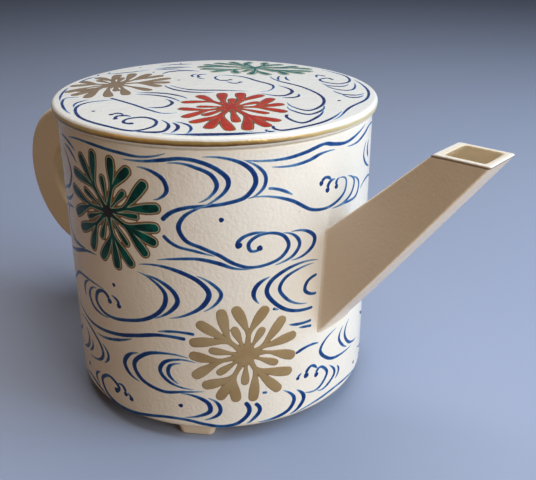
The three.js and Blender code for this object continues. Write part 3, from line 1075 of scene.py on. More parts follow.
class Bloom:
    """A chrysanthemum seen from above: lobes that fork out of shared stems, and short petals between them.

    Tip, neck, petal, heart and stem are radii; split is how far before its fork a stem lets its lobes go, as
    a share of its length. The outline is drawn a border outside the lobes, so that it also runs between two
    lobes that lie close.
    """

    def __init__(self, centre, stems, petals, tip, neck, petal, heart, stem, split, border=0.0):
        centre = np.array(centre, float)
        self.centre = centre
        self.border = border
        self.lobes = [[(centre, centre + HEART_STEP, heart, heart)]]
        far = []
        for fork, *tips in stems:
            fork = np.array(fork, float)
            base = fork + split * (centre - fork)
            self.lobes.append([(centre, base, stem, neck * STEM_SPREAD)])
            self.lobes += [self.lobe(base, fork, end, neck, tip) for end in np.array(tips, float)]
            far += tips
        for end in np.array(petals, float):
            root = centre + PETAL_START * (end - centre)
            self.lobes.append(self.lobe(root, (centre + end) / 2, end, petal * PETAL_ROOT, petal))
        reach = tip + border + BLOOM_MARGIN
        self.low = np.array(far).min(0) - reach
        self.high = np.array(far).max(0) + reach

    @staticmethod
    def lobe(start, bend, end, neck, tip):
        """Short tapered pieces along a curve that leaves start towards bend and arrives at end.

        The radius swells from the neck's to the tip's and draws in a little at the very end.
        """
        t = np.linspace(0, 1, LOBE_STEPS)[:, None]
        curve = start * (1 - t) ** 2 + bend * 2 * t * (1 - t) + end * t * t
        radius = neck + (tip - neck) * np.interp(t[:, 0], *LOBE_PROFILE)
        return [(curve[i], curve[i + 1], radius[i], radius[i + 1]) for i in range(LOBE_STEPS - 1)]

    def distance(self, u, v):
        """Distance out of the outline, negative inside: the least over its lobes, eased where two meet."""
        total = 0
        for lobe in self.lobes:
            nearest = np.full(np.shape(u), FAR)
            for (u0, v0), (u1, v1), r0, r1 in lobe:
                along = ((u - u0) * (u1 - u0) + (v - v0) * (v1 - v0)) / ((u1 - u0) ** 2 + (v1 - v0) ** 2)
                along = np.clip(along, 0, 1)
                gap = np.hypot(u - u0 - along * (u1 - u0), v - v0 - along * (v1 - v0))
                nearest = np.minimum(nearest, gap - r0 - along * (r1 - r0))
            total = total + np.exp(-np.clip(nearest, -LOBE_FAR, LOBE_FAR) / LOBE_EASE)
        return -LOBE_EASE * np.log(total + TINY) - self.border


def cut_sheet(bloom):
    """A grid sheet cut to the bloom: cells outside are left out and border points drawn onto the outline.

    Gives the points' two coordinates, the quads, the depth inside the outline and which points are on it.
    """
    across = np.arange(bloom.low[0], bloom.high[0], SHEET_STEP)
    up = np.arange(bloom.low[1], bloom.high[1], SHEET_STEP)
    u, v = np.meshgrid(across, up, indexing="ij")
    distance = bloom.distance(u, v)
    middle = (distance[:-1, :-1] + distance[1:, :-1] + distance[:-1, 1:] + distance[1:, 1:]) / 4
    keep = middle < 0
    touched = np.zeros(u.shape, int)
    for i in (0, 1):
        for j in (0, 1):
            touched[i : i + keep.shape[0], j : j + keep.shape[1]] += keep
    border = (touched > 0) & (touched < 4)
    u[border], v[border] = snap_to(bloom.distance, u[border], v[border])
    depth = np.where(border, 0.0, np.maximum(-distance, 0))
    used, faces = used_only(grid_faces(*u.shape)[keep])
    return u.ravel()[used], v.ravel()[used], faces, depth.ravel()[used], border.ravel()[used]


def paint_bloom(name, bloom, material, surface, outward, body, slot, relief, shift=0.0):
    """A bloom laid on its surface: a low outline, a raised core, and its border just under the glaze.

    Relief gives the outline's width, its height and the core's height.
    """
    rim_width, rim_lift, core_lift = relief
    rise_way, rise_start = OUTLINE_RISE
    u, v, faces, depth, border = cut_sheet(bloom)
    swell = 1 - np.exp(-np.maximum(depth - rim_width, 0) / CORE_SWELL)
    lift = rim_lift * np.minimum(depth / rise_way + rise_start, 1) + (core_lift - rim_lift) * swell
    lift = np.where(border, -PAINT_SINK, lift)
    points = surface(u + shift, v, lift)
    values = {"depth": depth, "heart": np.hypot(u - bloom.centre[0], v - bloom.centre[1])}
    make_piece(name, points, faces, material, body, slot, (), values, outward(points))


# Brush strokes on the wall, as (width, round ends, knots of s and h)
WALL_STROKES = [
    (2.0, "", [(-76.5, 127.5), (-70, 128.8), (-58, 129.2), (-43, 128.4), (-30, 128), (-20, 130.4)]),
    (2.4, "", [(-40, 126), (-30, 126.3), (-20, 127.8), (-15, 128.5), (-9, 127.9), (-3, 125.8), (1, 123.2),
        (3.6, 120.4), (3.9, 117.8), (2, 114.5), (-4, 110), (-7.5, 108.6)]),
    (2.3, "e", [(-6.5, 129.3), (2, 128.9), (9.7, 126.2), (14, 122), (14.7, 117.6), (10.6, 112.4),
        (3, 110.1), (-5, 109.1), (-13, 108.2), (-19.5, 105.7), (-23.6, 101.7)]),
    ((2.4, 1.8), "e", [(-2, 110), (-7.5, 108.4), (-14, 104.5), (-16.6, 99.5), (-14, 94), (-7.5, 90.9),
        (-0.5, 87.5), (5.5, 83.5), (12, 81.2), (20, 81.7), (26, 84), (29.2, 88.5), (27, 93.2), (21.5, 95.5),
        (15.5, 95), (11.7, 92), (12.4, 88.7), (16.4, 88.9)]),
    (2.1, "", [(-20.5, 126.3), (-15, 126.6), (-10, 125.5), (-2.7, 122), (-0.6, 117.5), (-3.5, 113),
        (-8.5, 110.4)]),
    (1.7, "", [(10.5, 127.2), (15.5, 124.7), (18.8, 120.5), (18.3, 116), (14, 112.2), (11, 111.9)]),
    (1.9, "", [(9.5, 127.7), (17.5, 126.7), (27.5, 126.5), (36.5, 127.6), (46.4, 129.3), (51.8, 128.1),
        (60, 126.9), (71, 128.4), (79.5, 130.4)]),
    (1.7, "", [(21, 123.9), (30, 123.1), (38, 123.9), (45, 125.6), (53.2, 125.5)]),
    (1.6, "", [(61, 124.9), (70, 124.5), (78, 126), (86.4, 127.8), (98, 126)]),
    (2.2, "", [(-33.5, 123.6), (-27, 122.6), (-21.8, 119.2), (-20.8, 114.5), (-24.5, 111.1), (-27, 110.6)]),
    (1.8, "s", [(-23.5, 95.8), (-18.5, 91.5), (-10, 89.3), (-2, 87.1)]),
    (2.1, "", [(-27, 84), (-18, 85.4), (-9, 85.8), (-1.5, 84.1), (6, 81.2), (13, 80.4)]),
    (1.9, "", [(26, 94.8), (32, 92.5), (34.5, 88.2), (31.7, 83.7), (26, 81.3), (22.5, 80.7)]),
    (2.2, "", [(30, 94.5), (37.5, 93.4), (42.2, 89.5), (41.7, 86), (37, 82.5), (30, 81.4)]),
    (1.6, "s", [(19.5, 115), (24.5, 114), (31, 110.5)]),
    (2.0, "", [(12, 111.8), (20, 111.6), (30, 108.4), (40.9, 102), (51.8, 101.1), (60.9, 105.1),
        (61.4, 110.5), (54.5, 112.2)]),
    (1.9, "e", [(57, 112.3), (54.8, 111.6), (54.6, 109.3)]),
    (2.0, "e", [(54, 112.4), (50.5, 112.2), (48.8, 109.5)]),
    (1.9, "e", [(51.4, 112.2), (49.5, 114.2), (47.3, 114.6), (45.2, 113)]),
    (1.7, "", [(62.7, 111.5), (68.9, 107.6), (66.8, 102.6), (54.5, 99.6)]),
    (1.8, "", [(66.4, 110.2), (74.1, 104.9), (71.8, 99.9), (60, 99.5), (51.8, 99.6)]),
    (1.7, "", [(75.9, 101.1), (84.5, 103.5), (98, 100.5)]),
    (1.9, "", [(82.3, 122.2), (79, 116.7), (81.4, 112.6), (91.8, 107.2)]),
    (2.4, "", [(87, 121.5), (85.2, 117.5), (88, 112.5)]),
    (2.3, "e", [(45, 77.8), (37, 79.1), (28, 77.5), (21, 73.2), (19.3, 68.5), (23, 62.6), (30, 57.5),
        (42.5, 55.6)]),
    (1.9, "", [(42.5, 77.1), (34.5, 76.5), (27.5, 73.5), (25.1, 69), (28, 64), (32.5, 60.5), (39.5, 58.5)]),
    (2.0, "se", [(44.5, 71.1), (39, 69.2), (37.6, 65.5), (40, 63), (44.5, 62)]),
    (2.3, "", [(21, 75.7), (15.2, 72.5), (13.5, 68.2), (16, 63.5)]),
    (1.6, "s", [(21.7, 60.2), (25, 59)]),
    (2.6, "", [(-36, 80.4), (-26, 81.4), (-17, 79.5), (-9, 75.3), (-5.2, 70), (-7.5, 64.5), (-15, 59.4),
        (-23.5, 56.9)]),
    (1.8, "", [(-10.5, 78.2), (-4, 74.7), (-0.1, 69.7), (-2, 65.5), (-8, 61.2)]),
    (2.4, "e", [(-37, 77), (-30, 74.5), (-24.3, 69), (-24.3, 64), (-27.5, 59), (-34, 54.5), (-43, 51.5),
        (-53, 49.6), (-60.5, 50.5), (-64.5, 54.2), (-62.7, 59.2), (-58, 61.1), (-54.4, 58.5)]),
    (2.4, "", [(-34, 76.2), (-27, 74.7), (-20.5, 70.2), (-18.7, 65.5), (-21.5, 61), (-30, 55.5)]),
    (1.9, "e", [(-53, 61.1), (-49.2, 59.5), (-48.4, 57.5)]),
    (2.3, "", [(-63.5, 60.6), (-68.5, 58.7), (-70.7, 54.5), (-68, 50), (-61, 48.2), (-55.5, 48.7)]),
    (2.0, "", [(-70, 62), (-75, 58.5), (-75.7, 54.5), (-74.5, 52)]),
    (2.0, "", [(-98, 50.5), (-91.5, 55), (-81.5, 61.5), (-72, 62.6), (-57, 62.2)]),
    (2.4, "e", [(-88.5, 44), (-77, 40.2), (-66, 39.7), (-50, 42), (-40, 44.7), (-28, 47.7), (-15.7, 47.2)]),
    (1.8, "e", [(-29, 49.4), (-23, 50.4), (-17.5, 50.6), (-11.7, 49.9)]),
    (1.8, "", [(-68, 35.9), (-60, 36.4), (-50, 39.2), (-42, 42.5)]),
    (2.3, "", [(-87, 37), (-76, 36.7), (-65.5, 30.7), (-63.6, 26), (-67, 21.5), (-79, 18.7)]),
    (1.9, "", [(-63.5, 32), (-59.2, 27), (-63.5, 21.2)]),
    (2.6, "", [(-80.5, 33.5), (-77.5, 29), (-79, 24), (-89, 18.2)]),
    (2.1, "", [(-74.5, 29.5), (-73.4, 26), (-79, 20.7)]),
    (2.1, "", [(-98, 22.7), (-90.5, 27.7), (-88, 30.5)]),
    (2.6, "", [(-39, 35.9), (-45, 33.2), (-48, 28), (-45.5, 23.2), (-39.5, 20.6)]),
    (2.6, "", [(-14.5, 37.7), (-24, 39), (-35, 36.7), (-42.2, 29.5), (-39.2, 22.7), (-28, 18.6), (-18, 20),
        (-8.5, 20.9)]),
    (2.2, "", [(-11.5, 35.5), (-19, 36.7), (-26.5, 34.2), (-28.7, 29.5), (-24.5, 24.2), (-13, 21.6)]),
    (2.0, "", [(-18.5, 34.7), (-24, 32.7), (-24.7, 28.5), (-20, 23.7)]),
    (2.5, "", [(-20, 19), (-12, 17.8), (-7, 14.3), (-6.6, 10.4), (-11.2, 7.7), (-18.6, 6.2)]),
    (2.1, "", [(-7.5, 17.5), (-2.7, 14.2), (-2.2, 9.5), (-9.5, 5.5)]),
    (2.1, "", [(-88, 4), (-80.5, 5.6), (-72, 4.5), (-63, 2.5)]),
    (2.4, "se", [(-55.5, 9.5), (-53.5, 12), (-60, 15.5), (-66.9, 10.7), (-64.7, 5.5), (-57, 2.2),
        (-47, 1.7), (-37, 3.1), (-28, 4.7), (-17.5, 4.9), (-9, 3.2), (-1, 2.1), (6.5, 3.7), (11.1, 9.2),
        (9, 14.5)]),
    (2.1, "", [(-68, 14), (-73, 9.5), (-69.5, 5.5)]),
    (2.0, "e", [(-54.3, 13.8), (-51, 14.3), (-49, 11)]),
    (1.9, "e", [(-48.2, 11.7), (-45.6, 9.5)]),
    (2.2, "s", [(13.5, 13.2), (16, 9), (11.5, 3.5), (9.5, 2.7)]),
    (2.5, "", [(27, 16.9), (33, 10.5), (30.2, 5.2), (20, 2.5), (15, 2.7)]),
    (2.5, "", [(34, 15), (38.4, 9.2), (35.5, 4.5), (30.5, 2.6)]),
    (1.7, "", [(34, 2.2), (48.2, 4), (61.8, 4.7), (82.7, 2.2)]),
    (1.9, "e", [(38.6, 11.7), (47.3, 10.5), (52.9, 16.5), (48.2, 21.7), (45.2, 19.5)]),
    (2.0, "e", [(46.4, 21.5), (42.3, 24.7), (39.2, 21.5)]),
    (1.8, "e", [(36.9, 23.2), (34.7, 21.2)]),
    (2.1, "", [(54.1, 19.9), (58.7, 13.3), (50.9, 8.5), (46.4, 9.5)]),
    (1.8, "", [(60.5, 16.7), (62.3, 13), (59.1, 9.6)]),
    (2.2, "", [(59.1, 38.1), (50.5, 34.9), (47.7, 30.5), (54.5, 23.5), (68.2, 20.8), (75.5, 20.4)]),
    (1.9, "", [(65, 36.7), (61.4, 31.3), (66.4, 24.5), (70, 22.6)]),
    (2.1, "", [(70.9, 37.6), (66.6, 31.7), (70.9, 24.5), (82.7, 20.5)]),
    (1.9, "s", [(34.2, 34.7), (41, 36.2), (46.7, 35.4)]),
    (1.7, "", [(88, 32), (98, 26)]),
    (2.0, "e", [(29.5, 50.5), (35, 49.3), (42, 49.2)]),
    (1.6, "e", [(34.5, 47.5), (42.2, 46.2)]),
    (1.9, "", [(-88, 126.2), (-79, 126), (-69.7, 122.9)]),
    (1.9, "", [(-83, 123.2), (-76, 122), (-69.5, 117.5)]),
    (2.2, "", [(-86, 121.6), (-80.2, 117.6), (-77.2, 111.5), (-81.5, 104.5), (-89.5, 101), (-98, 98)]),
    (1.5, "", [(-80, 94.6), (-86, 93.4), (-90, 89), (-91.2, 84), (-88, 79.8), (-81, 78.3), (-73, 78.2)]),
    (2.1, "", [(-77.2, 102.5), (-81.5, 98.7), (-98, 93.5)]),
    (1.8, "", [(-78.2, 94.4), (-87.5, 93.2), (-98, 89.2)]),
    (2.1, "", [(-98, 68.5), (-83, 72.5), (-70, 77), (-60, 78)]),
    (2.0, "", [(-88.5, 77.5), (-79.5, 77.1), (-70, 78.2)]),
    (2.0, "e", [(20, 96), (16.7, 96.4), (13.5, 96.3), (9.8, 95.2), (7.4, 93.2), (7.2, 91.4)]),
    (1.6, "se", [(17, 18.1), (19.7, 17.7)]),
    (1.9, "", [(96, 126.4), (106, 123.6), (116, 124.8), (124, 127.4), (132, 126.8)]),
    (2.2, "", [(95, 101.4), (104, 98), (112, 98.6), (120, 99.6), (130, 98.4)]),
    (2.3, "", [(99, 117), (106, 118.6), (112.5, 116), (114, 111), (110, 106.6), (102, 105)]),
    (1.8, "", [(108, 120.6), (117.5, 117), (119, 111), (115, 106)]),
    (2.3, "e", [(92, 90), (101, 92.6), (110, 91), (116, 86), (116, 79.6), (110.6, 76), (105, 78),
        (105, 82.6), (108.4, 84.4)]),
    (1.9, "", [(100, 95), (112, 94.4), (121, 88), (129, 87.4)]),
    (2.2, "", [(84, 76), (92, 70), (102, 67.4), (114, 68), (131, 70)]),
    (1.8, "", [(88, 66), (98, 62.4), (110, 62), (124, 65)]),
    (2.4, "", [(80, 58), (90, 59.4), (98, 56), (101, 50), (97, 44.6), (88, 42)]),
    (2.0, "", [(94, 59.8), (104, 56), (107.4, 49.6), (103, 43)]),
    (2.1, "", [(106, 46), (116, 49.4), (130, 50.8)]),
    (2.3, "", [(98, 26), (107, 22.4), (118, 22), (130, 23)]),
    (2.3, "", [(104, 38), (112.4, 37), (117, 32), (114.6, 27), (106, 25.4)]),
    (1.8, "", [(110, 40), (121, 36.4), (122.6, 30)]),
    (2.2, "", [(86, 13), (96, 8.4), (108, 7), (120, 8.6), (132, 5.4)]),
    (1.9, "", [(92, 4.6), (104, 3), (118, 4.4)]),
    (2.3, "e", [(103, 14.6), (109, 17.4), (115.4, 15), (116, 11.4)]),
]

# Dots on the wall, as (s, h, radius)
WALL_DOTS = [
    (16.3, 89.4, 1.35), (0.8, 103.1, 1.1), (-50.5, 66.8, 1.0), (-19.8, 12.4, 1.1), (-81.4, 11.7, 1.2),
    (79.8, 7.6, 1.0), (7.5, 91.6, 1.6), (54.6, 108.9, 1.2), (49, 108.8, 1.3), (45.2, 112.6, 1.2),
    (-54.3, 57.6, 1.5), (-48.5, 57, 1.4), (-55.4, 9.7, 1.6), (-49.2, 10.2, 1.3), (-45.8, 8.8, 1.3),
    (45.6, 18.6, 1.4), (39.5, 20.6, 1.5), (34.8, 20.7, 1.0), (34.2, 34.7, 0.8), (108.6, 84, 1.4),
    (98.5, 74.5, 1.0), (122, 103, 1.1), (88, 87, 1.0), (92, 50.6, 1.1), (116, 11.6, 1.3), (109, 31.6, 1.0),
]

# Brush strokes on the lid, as (width, round ends, knots across and away)
LID_STROKES = [
    (1.7, "", [(67.6, 20.6), (70.1, 8.8), (70.5, -5), (67, -19.1), (57, -34.2), (50, -49.1), (47, -52.8)]),
    (1.7, "e", [(55, 44), (60, 37.4), (65.4, 26.9), (64.5, 14.8), (58.5, 9.9), (52.5, 13.6), (50.8, 19.1),
        (55, 22.7), (57, 20.1)]),
    (1.7, "s", [(54, 27.7), (51, 29.7), (50, 26.7), (50.5, 23.6)]),
    (1.6, "", [(51, 11.6), (54, 5.6), (60, 4.7), (63.5, 9.8)]),
    (1.6, "", [(52, 7.6), (56, -1.4), (62, -3.2), (67, 12.9)]),
    (1.6, "", [(54, -3.4), (58, -11.3), (64, -12.2), (68, -8.1)]),
    (1.6, "", [(57, -11.3), (60.5, -16.7), (64, -16.2), (67, -12.1)]),
    (2.0, "", [(27, 28.4), (27.5, 23.3), (30, 17.3), (41, 2.4), (47.5, -16.5), (45.5, -30.4), (38.5, -38.9),
        (32.5, -32.5), (31, -24.6)]),
    (1.6, "", [(32, 28.4), (30.5, 22.4), (31, 17.3)]),
    (1.7, "", [(35, 26.5), (34.5, 21.4), (36, 16.4)]),
    (1.8, "", [(46, -29.4), (45, -37.3), (38, -44.8), (31.2, -37.5), (30.5, -31.6)]),
    (1.9, "e", [(45, -36.3), (43, -45.3), (34, -56.7), (28.8, -49.4), (29.5, -44.4)]),
    (1.8, "e", [(53, -39.2), (44, -54.1), (33.3, -62.4), (25, -66.1), (22.5, -64.1), (22.5, -60.2)]),
    (1.9, "", [(-21.5, -67.4), (-7.9, -70.3), (5.8, -70.5), (14.7, -69.2), (19, -68.1), (19.5, -64.2)]),
    (1.5, "", [(-13, -68.3), (0, -69.3), (9, -68.9), (15, -66.6)]),
    (1.9, "s", [(19.3, -64.6), (19.9, -67.4), (23, -66.6)]),
    (1.5, "", [(-9.4, 28), (-8.3, 25.4), (-5.2, 23.2)]),
    (1.9, "s", [(-34, -53.7), (-37.3, -51.7), (-36.5, -47.3), (-30, -45.2), (-24.6, -50.4), (-25, -58.2),
        (-32, -63.1), (-43.8, -55.5), (-56, -42.1), (-60, -26.2), (-56.6, -19.2), (-50, -16.6),
        (-44.4, -15.4)]),
    (1.9, "e", [(-35, -44.4), (-37, -42.2), (-40.6, -42.3), (-41.3, -45.7)]),
    (1.8, "e", [(-38.5, -41.4), (-40.4, -38.3), (-43.4, -39.3)]),
    (2.2, "", [(-22.5, -49.9), (-19, -57.3), (-21, -65.1), (-27.3, -65.2), (-33.5, -62.2)]),
    (2.2, "", [(-18, -53.4), (-15.2, -60.3), (-18, -67.6)]),
    (1.8, "", [(-17, -52.4), (-10.4, -59.8), (-12, -69.6)]),
    (1.7, "", [(-61, -8.8), (-67, -9.1), (-68, -15.1), (-64, -30.1), (-60.5, -36.1)]),
    (1.6, "", [(-69.5, 12.8), (-70.7, 2), (-70.1, -9), (-69, -14.1)]),
    (1.6, "", [(-56, -13.8), (-61, -18.7), (-61, -26.2)]),
    (1.9, "s", [(-47.4, -12), (-36, -24.6), (-28, -34.6), (-22, -40), (-16, -39.1)]),
    (2.2, "", [(-30, -29.6), (-23, -30.3), (-19.2, -23.7), (-23, -15.8)]),
    (2.0, "", [(-37, -3.7), (-23, -5.8), (-14, -13.8), (-13, -16.8)]),
    (1.8, "", [(-37, -6.6), (-24, -10.8), (-15.5, -21.8)]),
    ((2.2, 1.6), "", [(-24.5, 11.6), (-22.3, 5.6), (-16.6, -0.8), (-9, -4.6), (0, -4.9)]),
    (1.8, "", [(-22, 11.2), (-12, 1.1), (2, -1.1), (15, -3.8)]),
    (1.7, "e", [(2, 30.3), (-0.5, 26.2), (2, 19.8), (6.4, 19.8)]),
    (1.6, "e", [(5, 17.2), (9, 12.7), (11.7, 14.8)]),
    (2.0, "", [(1, 31.3), (12, 27.9), (20, 17.2), (27, 6.3), (24, -3.8), (20, -4.8)]),
    (2.3, "", [(29, 7.3), (35, -5.1), (30, -13.2), (20, -7.8)]),
    (2.0, "", [(37.2, -9.6), (36.6, -15), (33, -17), (29, -16.4)]),
    (1.7, "s", [(-8.5, 28.3), (-9, 31.3), (-8, 33.3), (-4, 33.8)]),
    (1.7, "s", [(-11.5, 29.3), (-12, 32.3), (-9, 35.4)]),
    (2.2, "", [(-27, 35), (-24.4, 41), (-16.5, 44), (-8, 41.4)]),
    (1.9, "", [(-31, 46.7), (-25, 48.6), (-17, 47.4)]),
    (2.2, "", [(-32, 48.7), (-24, 52.7), (-12, 52.6)]),
    (1.5, "s", [(-32, 40.1), (-31.5, 43.1)]),
    (1.5, "s", [(-40, 53.9), (-39, 56.4)]),
    (1.6, "s", [(-66, 20.9), (-64, 28.9), (-59, 34.9)]),
    (1.6, "s", [(-59.6, 36.2), (-59, 40)]),
    (1.6, "s", [(-54.8, 41), (-53.8, 44.6)]),
    (1.6, "", [(-56, 39.9), (-44, 42.8), (-34, 48.7)]),
    (1.5, "s", [(-24.5, 59.8), (-24, 62.9)]),
    (1.5, "s", [(-19, 62.9), (-18.6, 65.9)]),
    (1.7, "", [(-30, 58.9), (-20, 61.8), (-12, 61.3)]),
]

# Dots on the lid, as (across, away, radius)
LID_DOTS = [
    (54.2, -22.6, 0.9), (-51.8, -33.5, 0.9), (-18.2, 21.5, 0.8), (57, 19.9, 1), (54, 27.7, 0.9),
    (-34.3, -53.5, 1.4), (-41.2, -46.1, 1.2), (-43.6, -39.7, 1.2), (7, 20.5, 1.2), (11.8, 15.2, 1.1),
    (-8.5, 28.5, 1), (-11.5, 29.5, 0.9),
]

# Chrysanthemums: centre, then each stem's fork and the tips of its lobes, then the tips of the short petals
GREEN_ON_WALL = (
    (-50, 101.3),
    [
        [(-58, 111.6), (-56.6, 124.6), (-65.2, 121.4), (-71.6, 113.4)],
        [(-46.3, 113.4), (-46.2, 123.9), (-38.2, 121)],
        [(-40, 104.6), (-30.9, 116.2), (-26, 106.9)],
        [(-40, 96.6), (-26.8, 98.3), (-28, 91.9), (-32.2, 86.4)],
        [(-48.2, 90.6), (-39.7, 80.2), (-47, 77.5), (-55.3, 79.5)],
        [(-58.6, 93.2), (-62.3, 82), (-70, 88.3)],
        [(-62, 101.5), (-74, 94.4), (-74.6, 105)],
    ],
    [(-51.7, 115.6), (-40.8, 111.2), (-35.2, 102.1), (-40.8, 88.9), (-54.9, 88.9), (-63, 95.7),
     (-64, 107.2)],
)
GOLD_ON_WALL = (
    (10.2, 39.2),
    [
        [(1.6, 47.6), (-0.2, 60.2), (-9, 54.7), (-12.2, 46)],
        [(11.3, 51), (6.2, 61.3), (18.2, 60)],
        [(17.8, 42.2), (26, 53.5), (31.2, 44.5)],
        [(21, 39.2), (31, 34.5)],
        [(14.6, 29.8), (29.3, 26.5), (24.2, 19), (13, 16.6)],
        [(3.6, 27), (5.2, 17.2), (-1.5, 18.6), (-7.4, 24.4)],
        [(-2.4, 36.6), (-11.8, 29.6), (-12.6, 39.2)],
    ],
    [(5.2, 52), (17, 50.4), (23, 32.9), (9.3, 25.2), (-1.5, 31.1), (-4.5, 42.1)],
)
RED_ON_LID = (
    (6.2, -32),
    [
        [(-2.4, -20.8), (-13, -22.3), (-7, -12)],
        [(2.4, -22), (2.6, -8.5)],
        [(11.2, -20.5), (10.9, -8.6), (19.4, -12.6)],
        [(18, -32.4), (23.7, -19.3), (27, -28.6), (27.4, -39.8)],
        [(13.2, -46.5), (23.7, -52.9), (19.5, -59.7), (12, -63.6)],
        [(1, -46.5), (5, -64), (-3, -61), (-8.8, -53.4)],
        [(-4.8, -36.8), (-12.2, -45.5), (-14, -33.5)],
    ],
    [(7, -18.6), (17.4, -24.6), (20.2, -42.2), (7.8, -53.6), (-4.4, -43.7), (-6.7, -30.3)],
)
GOLD_ON_LID = (
    (-48, 14.6),
    [
        [(-50.5, 23.6), (-49.3, 35.8), (-58, 30.8)],
        [(-58, 16.6), (-64.1, 22.9), (-67.5, 15.1)],
        [(-60, 11), (-68, 3.1)],
        [(-55.6, 6), (-64.1, -3.4), (-57.8, -8.6)],
        [(-51, 4), (-48.6, -8.2)],
        [(-43.4, 6), (-41, -5.4)],
        [(-40.6, 10), (-31.7, 2)],
        [(-36.5, 17.6), (-27.6, 9.7), (-24.2, 16.7), (-24.2, 25.4)],
        [(-39.6, 24.4), (-28, 31.8), (-34.2, 35.6)],
        [(-42.8, 24), (-42.1, 37.6)],
    ],
    [(-46.5, 28.8), (-57.2, 24.4), (-46.3, 1.7), (-63.2, 3.6)],
)
GREEN_ON_LID = (
    (20.5, 48.4),
    [
        [(8, 44.2), (-6, 47.3), (-0.6, 40.3), (10.4, 36.6)],
        [(20, 40.3), (17.7, 33.3), (26, 31.9)],
        [(32, 41.3), (34.8, 32.1), (43, 34.2), (47.6, 39.2)],
        [(36, 49.9), (48, 45.6), (41.6, 52.2)],
        [(26, 55.2), (34, 57.2), (26.4, 62.2)],
        [(14, 55.2), (18, 64.2), (9, 65.2), (1, 62.8)],
        [(6, 52.8), (-4.6, 58.6), (-7.6, 53.2)],
    ],
    [(14.6, 39.8), (30, 39.2), (36.6, 47.2), (29, 55.2), (16, 58.2), (6, 52.2)],
)

# Brush of each flower, as the Bloom class takes it
GREEN_BRUSH = dict(tip=2.15, neck=0.75, petal=1.35, heart=3.0, stem=1.3, split=0.22, border=0.8)
GOLD_BRUSH = dict(tip=2.65, neck=0.95, petal=2.0, heart=4.4, stem=2.1, split=0.3)
RED_BRUSH = dict(tip=2.2, neck=0.72, petal=1.6, heart=2.9, stem=1.2, split=0.3, border=0.6)
WALL_RED_BRUSH = dict(tip=2.3, neck=0.8, petal=1.6, heart=3.4, stem=1.4, split=0.3, border=0.6)
LID_GOLD_BRUSH = dict(tip=2.5, neck=0.95, petal=1.8, heart=3.6, stem=1.7, split=0.3)
LID_GREEN_BRUSH = dict(tip=1.75, neck=0.7, petal=1.3, heart=2.9, stem=1.0, split=0.3, border=0.85)

# Relief of each flower: its outline's width, its outline's height and its core's height
GREEN_RELIEF = (0.78, 0.07, 0.22)
WALL_RED_RELIEF = (0.45, 0.07, 0.22)
GOLD_RELIEF = (0.0, 0.05, 0.11)
LID_RED_RELIEF = (0.62, 0.06, 0.2)
LID_GREEN_RELIEF = (0.7, 0.06, 0.2)


def paint_wall(suffix, shift, enamel_brush, enamel_paint, enamel_relief):
    """The painting of one half of the wall; the other half repeats it half a turn on."""
    place = (on_wall, wall_outward, "pot", "pot_glaze")
    paint_lines("wall_lines_" + suffix, cobalt_ink, WALL_STROKES, WALL_DOTS, WALL_SWELL, *place, shift)
    outlined = Bloom(*GREEN_ON_WALL, **enamel_brush)
    paint_bloom("wall_bloom_" + suffix, outlined, enamel_paint, *place, enamel_relief, shift)
    gold = Bloom(*GOLD_ON_WALL, **GOLD_BRUSH)
    paint_bloom("wall_gold_bloom_" + suffix, gold, wall_gold, *place, GOLD_RELIEF, shift)


def paint_lid():
    """The lid's water lines and its red, gold and green flowers."""
    place = (on_lid, lid_outward, "lid", "lid_glaze")
    paint_lines("lid_lines", dark_cobalt_ink, LID_STROKES, LID_DOTS, LID_SWELL, *place)
    paint_bloom("lid_red_bloom", Bloom(*RED_ON_LID, **RED_BRUSH), red_enamel, *place, LID_RED_RELIEF)
    paint_bloom("lid_gold_bloom", Bloom(*GOLD_ON_LID, **LID_GOLD_BRUSH), lid_gold, *place, GOLD_RELIEF)
    green = Bloom(*GREEN_ON_LID, **LID_GREEN_BRUSH)
    paint_bloom("lid_green_bloom", green, thin_green_enamel, *place, LID_GREEN_RELIEF)


pot_body()
for foot_name, foot_degrees in FOOT_ANGLES.items():
    tapered_foot(foot_name, foot_degrees)
spout()
handle()
lid_cover()
lid_ring()
paint_wall("front", 0.0, GREEN_BRUSH, green_enamel, GREEN_RELIEF)
paint_wall("back", HALF_TURN, WALL_RED_BRUSH, red_enamel, WALL_RED_RELIEF)
paint_lid()


# Stage, camera and light

FLOOR_REACH = 1.65
FLOOR_SEEN = srgb(156, 167, 193)
FLOOR_BOUNCE = srgb(122, 107, 92)
ROOM_SEEN = srgb(126, 133, 150)
ROOM_GLOW = (0.02, 0.014, 0.008, 1.0)
POT_MIDDLE = (0, 0, 0.07)
CAMERA_PLACE = (0.24827, -0.25386, 0.22838)
CAMERA_LOOK = (-0.59148, 0.69311, -0.41201)
CAMERA_LENS = 51.64


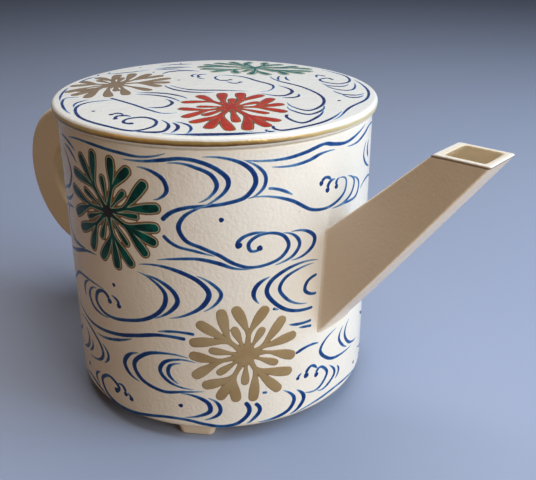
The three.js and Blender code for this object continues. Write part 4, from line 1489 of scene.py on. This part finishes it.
def floor():
    """A plain pale floor; only light bounced off it onto the ewer sees it darker."""
    corners = [(x * FLOOR_REACH, y * FLOOR_REACH, 0) for x, y in ((-1, -1), (1, -1), (1, 1), (-1, 1))]
    mesh = bpy.data.meshes.new("studio_floor")
    mesh.from_pydata(corners, [], [(0, 1, 2, 3)])

    def build(nodes):
        tone = nodes.mix(nodes.seen(), FLOOR_BOUNCE, FLOOR_SEEN)
        return {"Base Color": tone, "Roughness": 0.9, "Specular IOR Level": 0.1}

    mesh.materials.append(finish("studio_floor", build))
    put("studio_floor", mesh)


def surroundings():
    """A faint warm glow from all round; the camera sees it as a pale room."""
    world = bpy.data.worlds.new("pale_room")
    bpy.context.scene.world = world
    world.use_nodes = True
    nodes = Nodes(world.node_tree)
    tone = nodes.mix(nodes.seen(), ROOM_GLOW, ROOM_SEEN)
    sky = nodes.add("Background", None, {"Color": tone, "Strength": 1.0})
    nodes.add("OutputWorld", None, {"Surface": sky})


def aim(thing, place, look):
    """Puts a lamp or camera in its place and turns it to look along a direction, upright."""
    level = math.hypot(look[0], look[1])
    thing.location = place
    thing.rotation_euler = (math.atan2(level, -look[2]), 0, math.atan2(-look[0], look[1]))


def lamp(name, place, size, power, colour):
    """A square area lamp aimed at the middle of the pot."""
    light = bpy.data.lights.new(name, "AREA")
    light.shape = "SQUARE"
    light.size = size
    light.energy = power
    light.color = colour
    aim(put(name, light), place, np.array(POT_MIDDLE) - np.array(place))


def camera():
    """The photograph's view: from the front right, looking down at the pot."""
    lens = bpy.data.cameras.new("camera")
    lens.sensor_width = 36
    lens.sensor_fit = "HORIZONTAL"
    lens.lens = CAMERA_LENS
    lens.clip_start = 0.02
    bpy.context.scene.camera = put("camera", lens)
    aim(bpy.context.scene.camera, CAMERA_PLACE, CAMERA_LOOK)


floor()
surroundings()
lamp("window_light", (0.85, 0.45, 0.75), size=0.7, power=9.8, colour=(0.60, 0.80, 1.0))
lamp("right_light", (0.95, -0.04, 0.36), size=0.7, power=6.5, colour=(1.0, 0.95, 0.87))
lamp("top_light", (-0.05, 0.15, 1.1), size=0.9, power=7.8, colour=(1.0, 0.94, 0.87))
lamp("left_glow", (-0.15, -0.95, 0.3), size=0.7, power=0.8, colour=(1.0, 0.56, 0.24))
camera()
bpy.context.scene.view_settings.view_transform = "Standard"
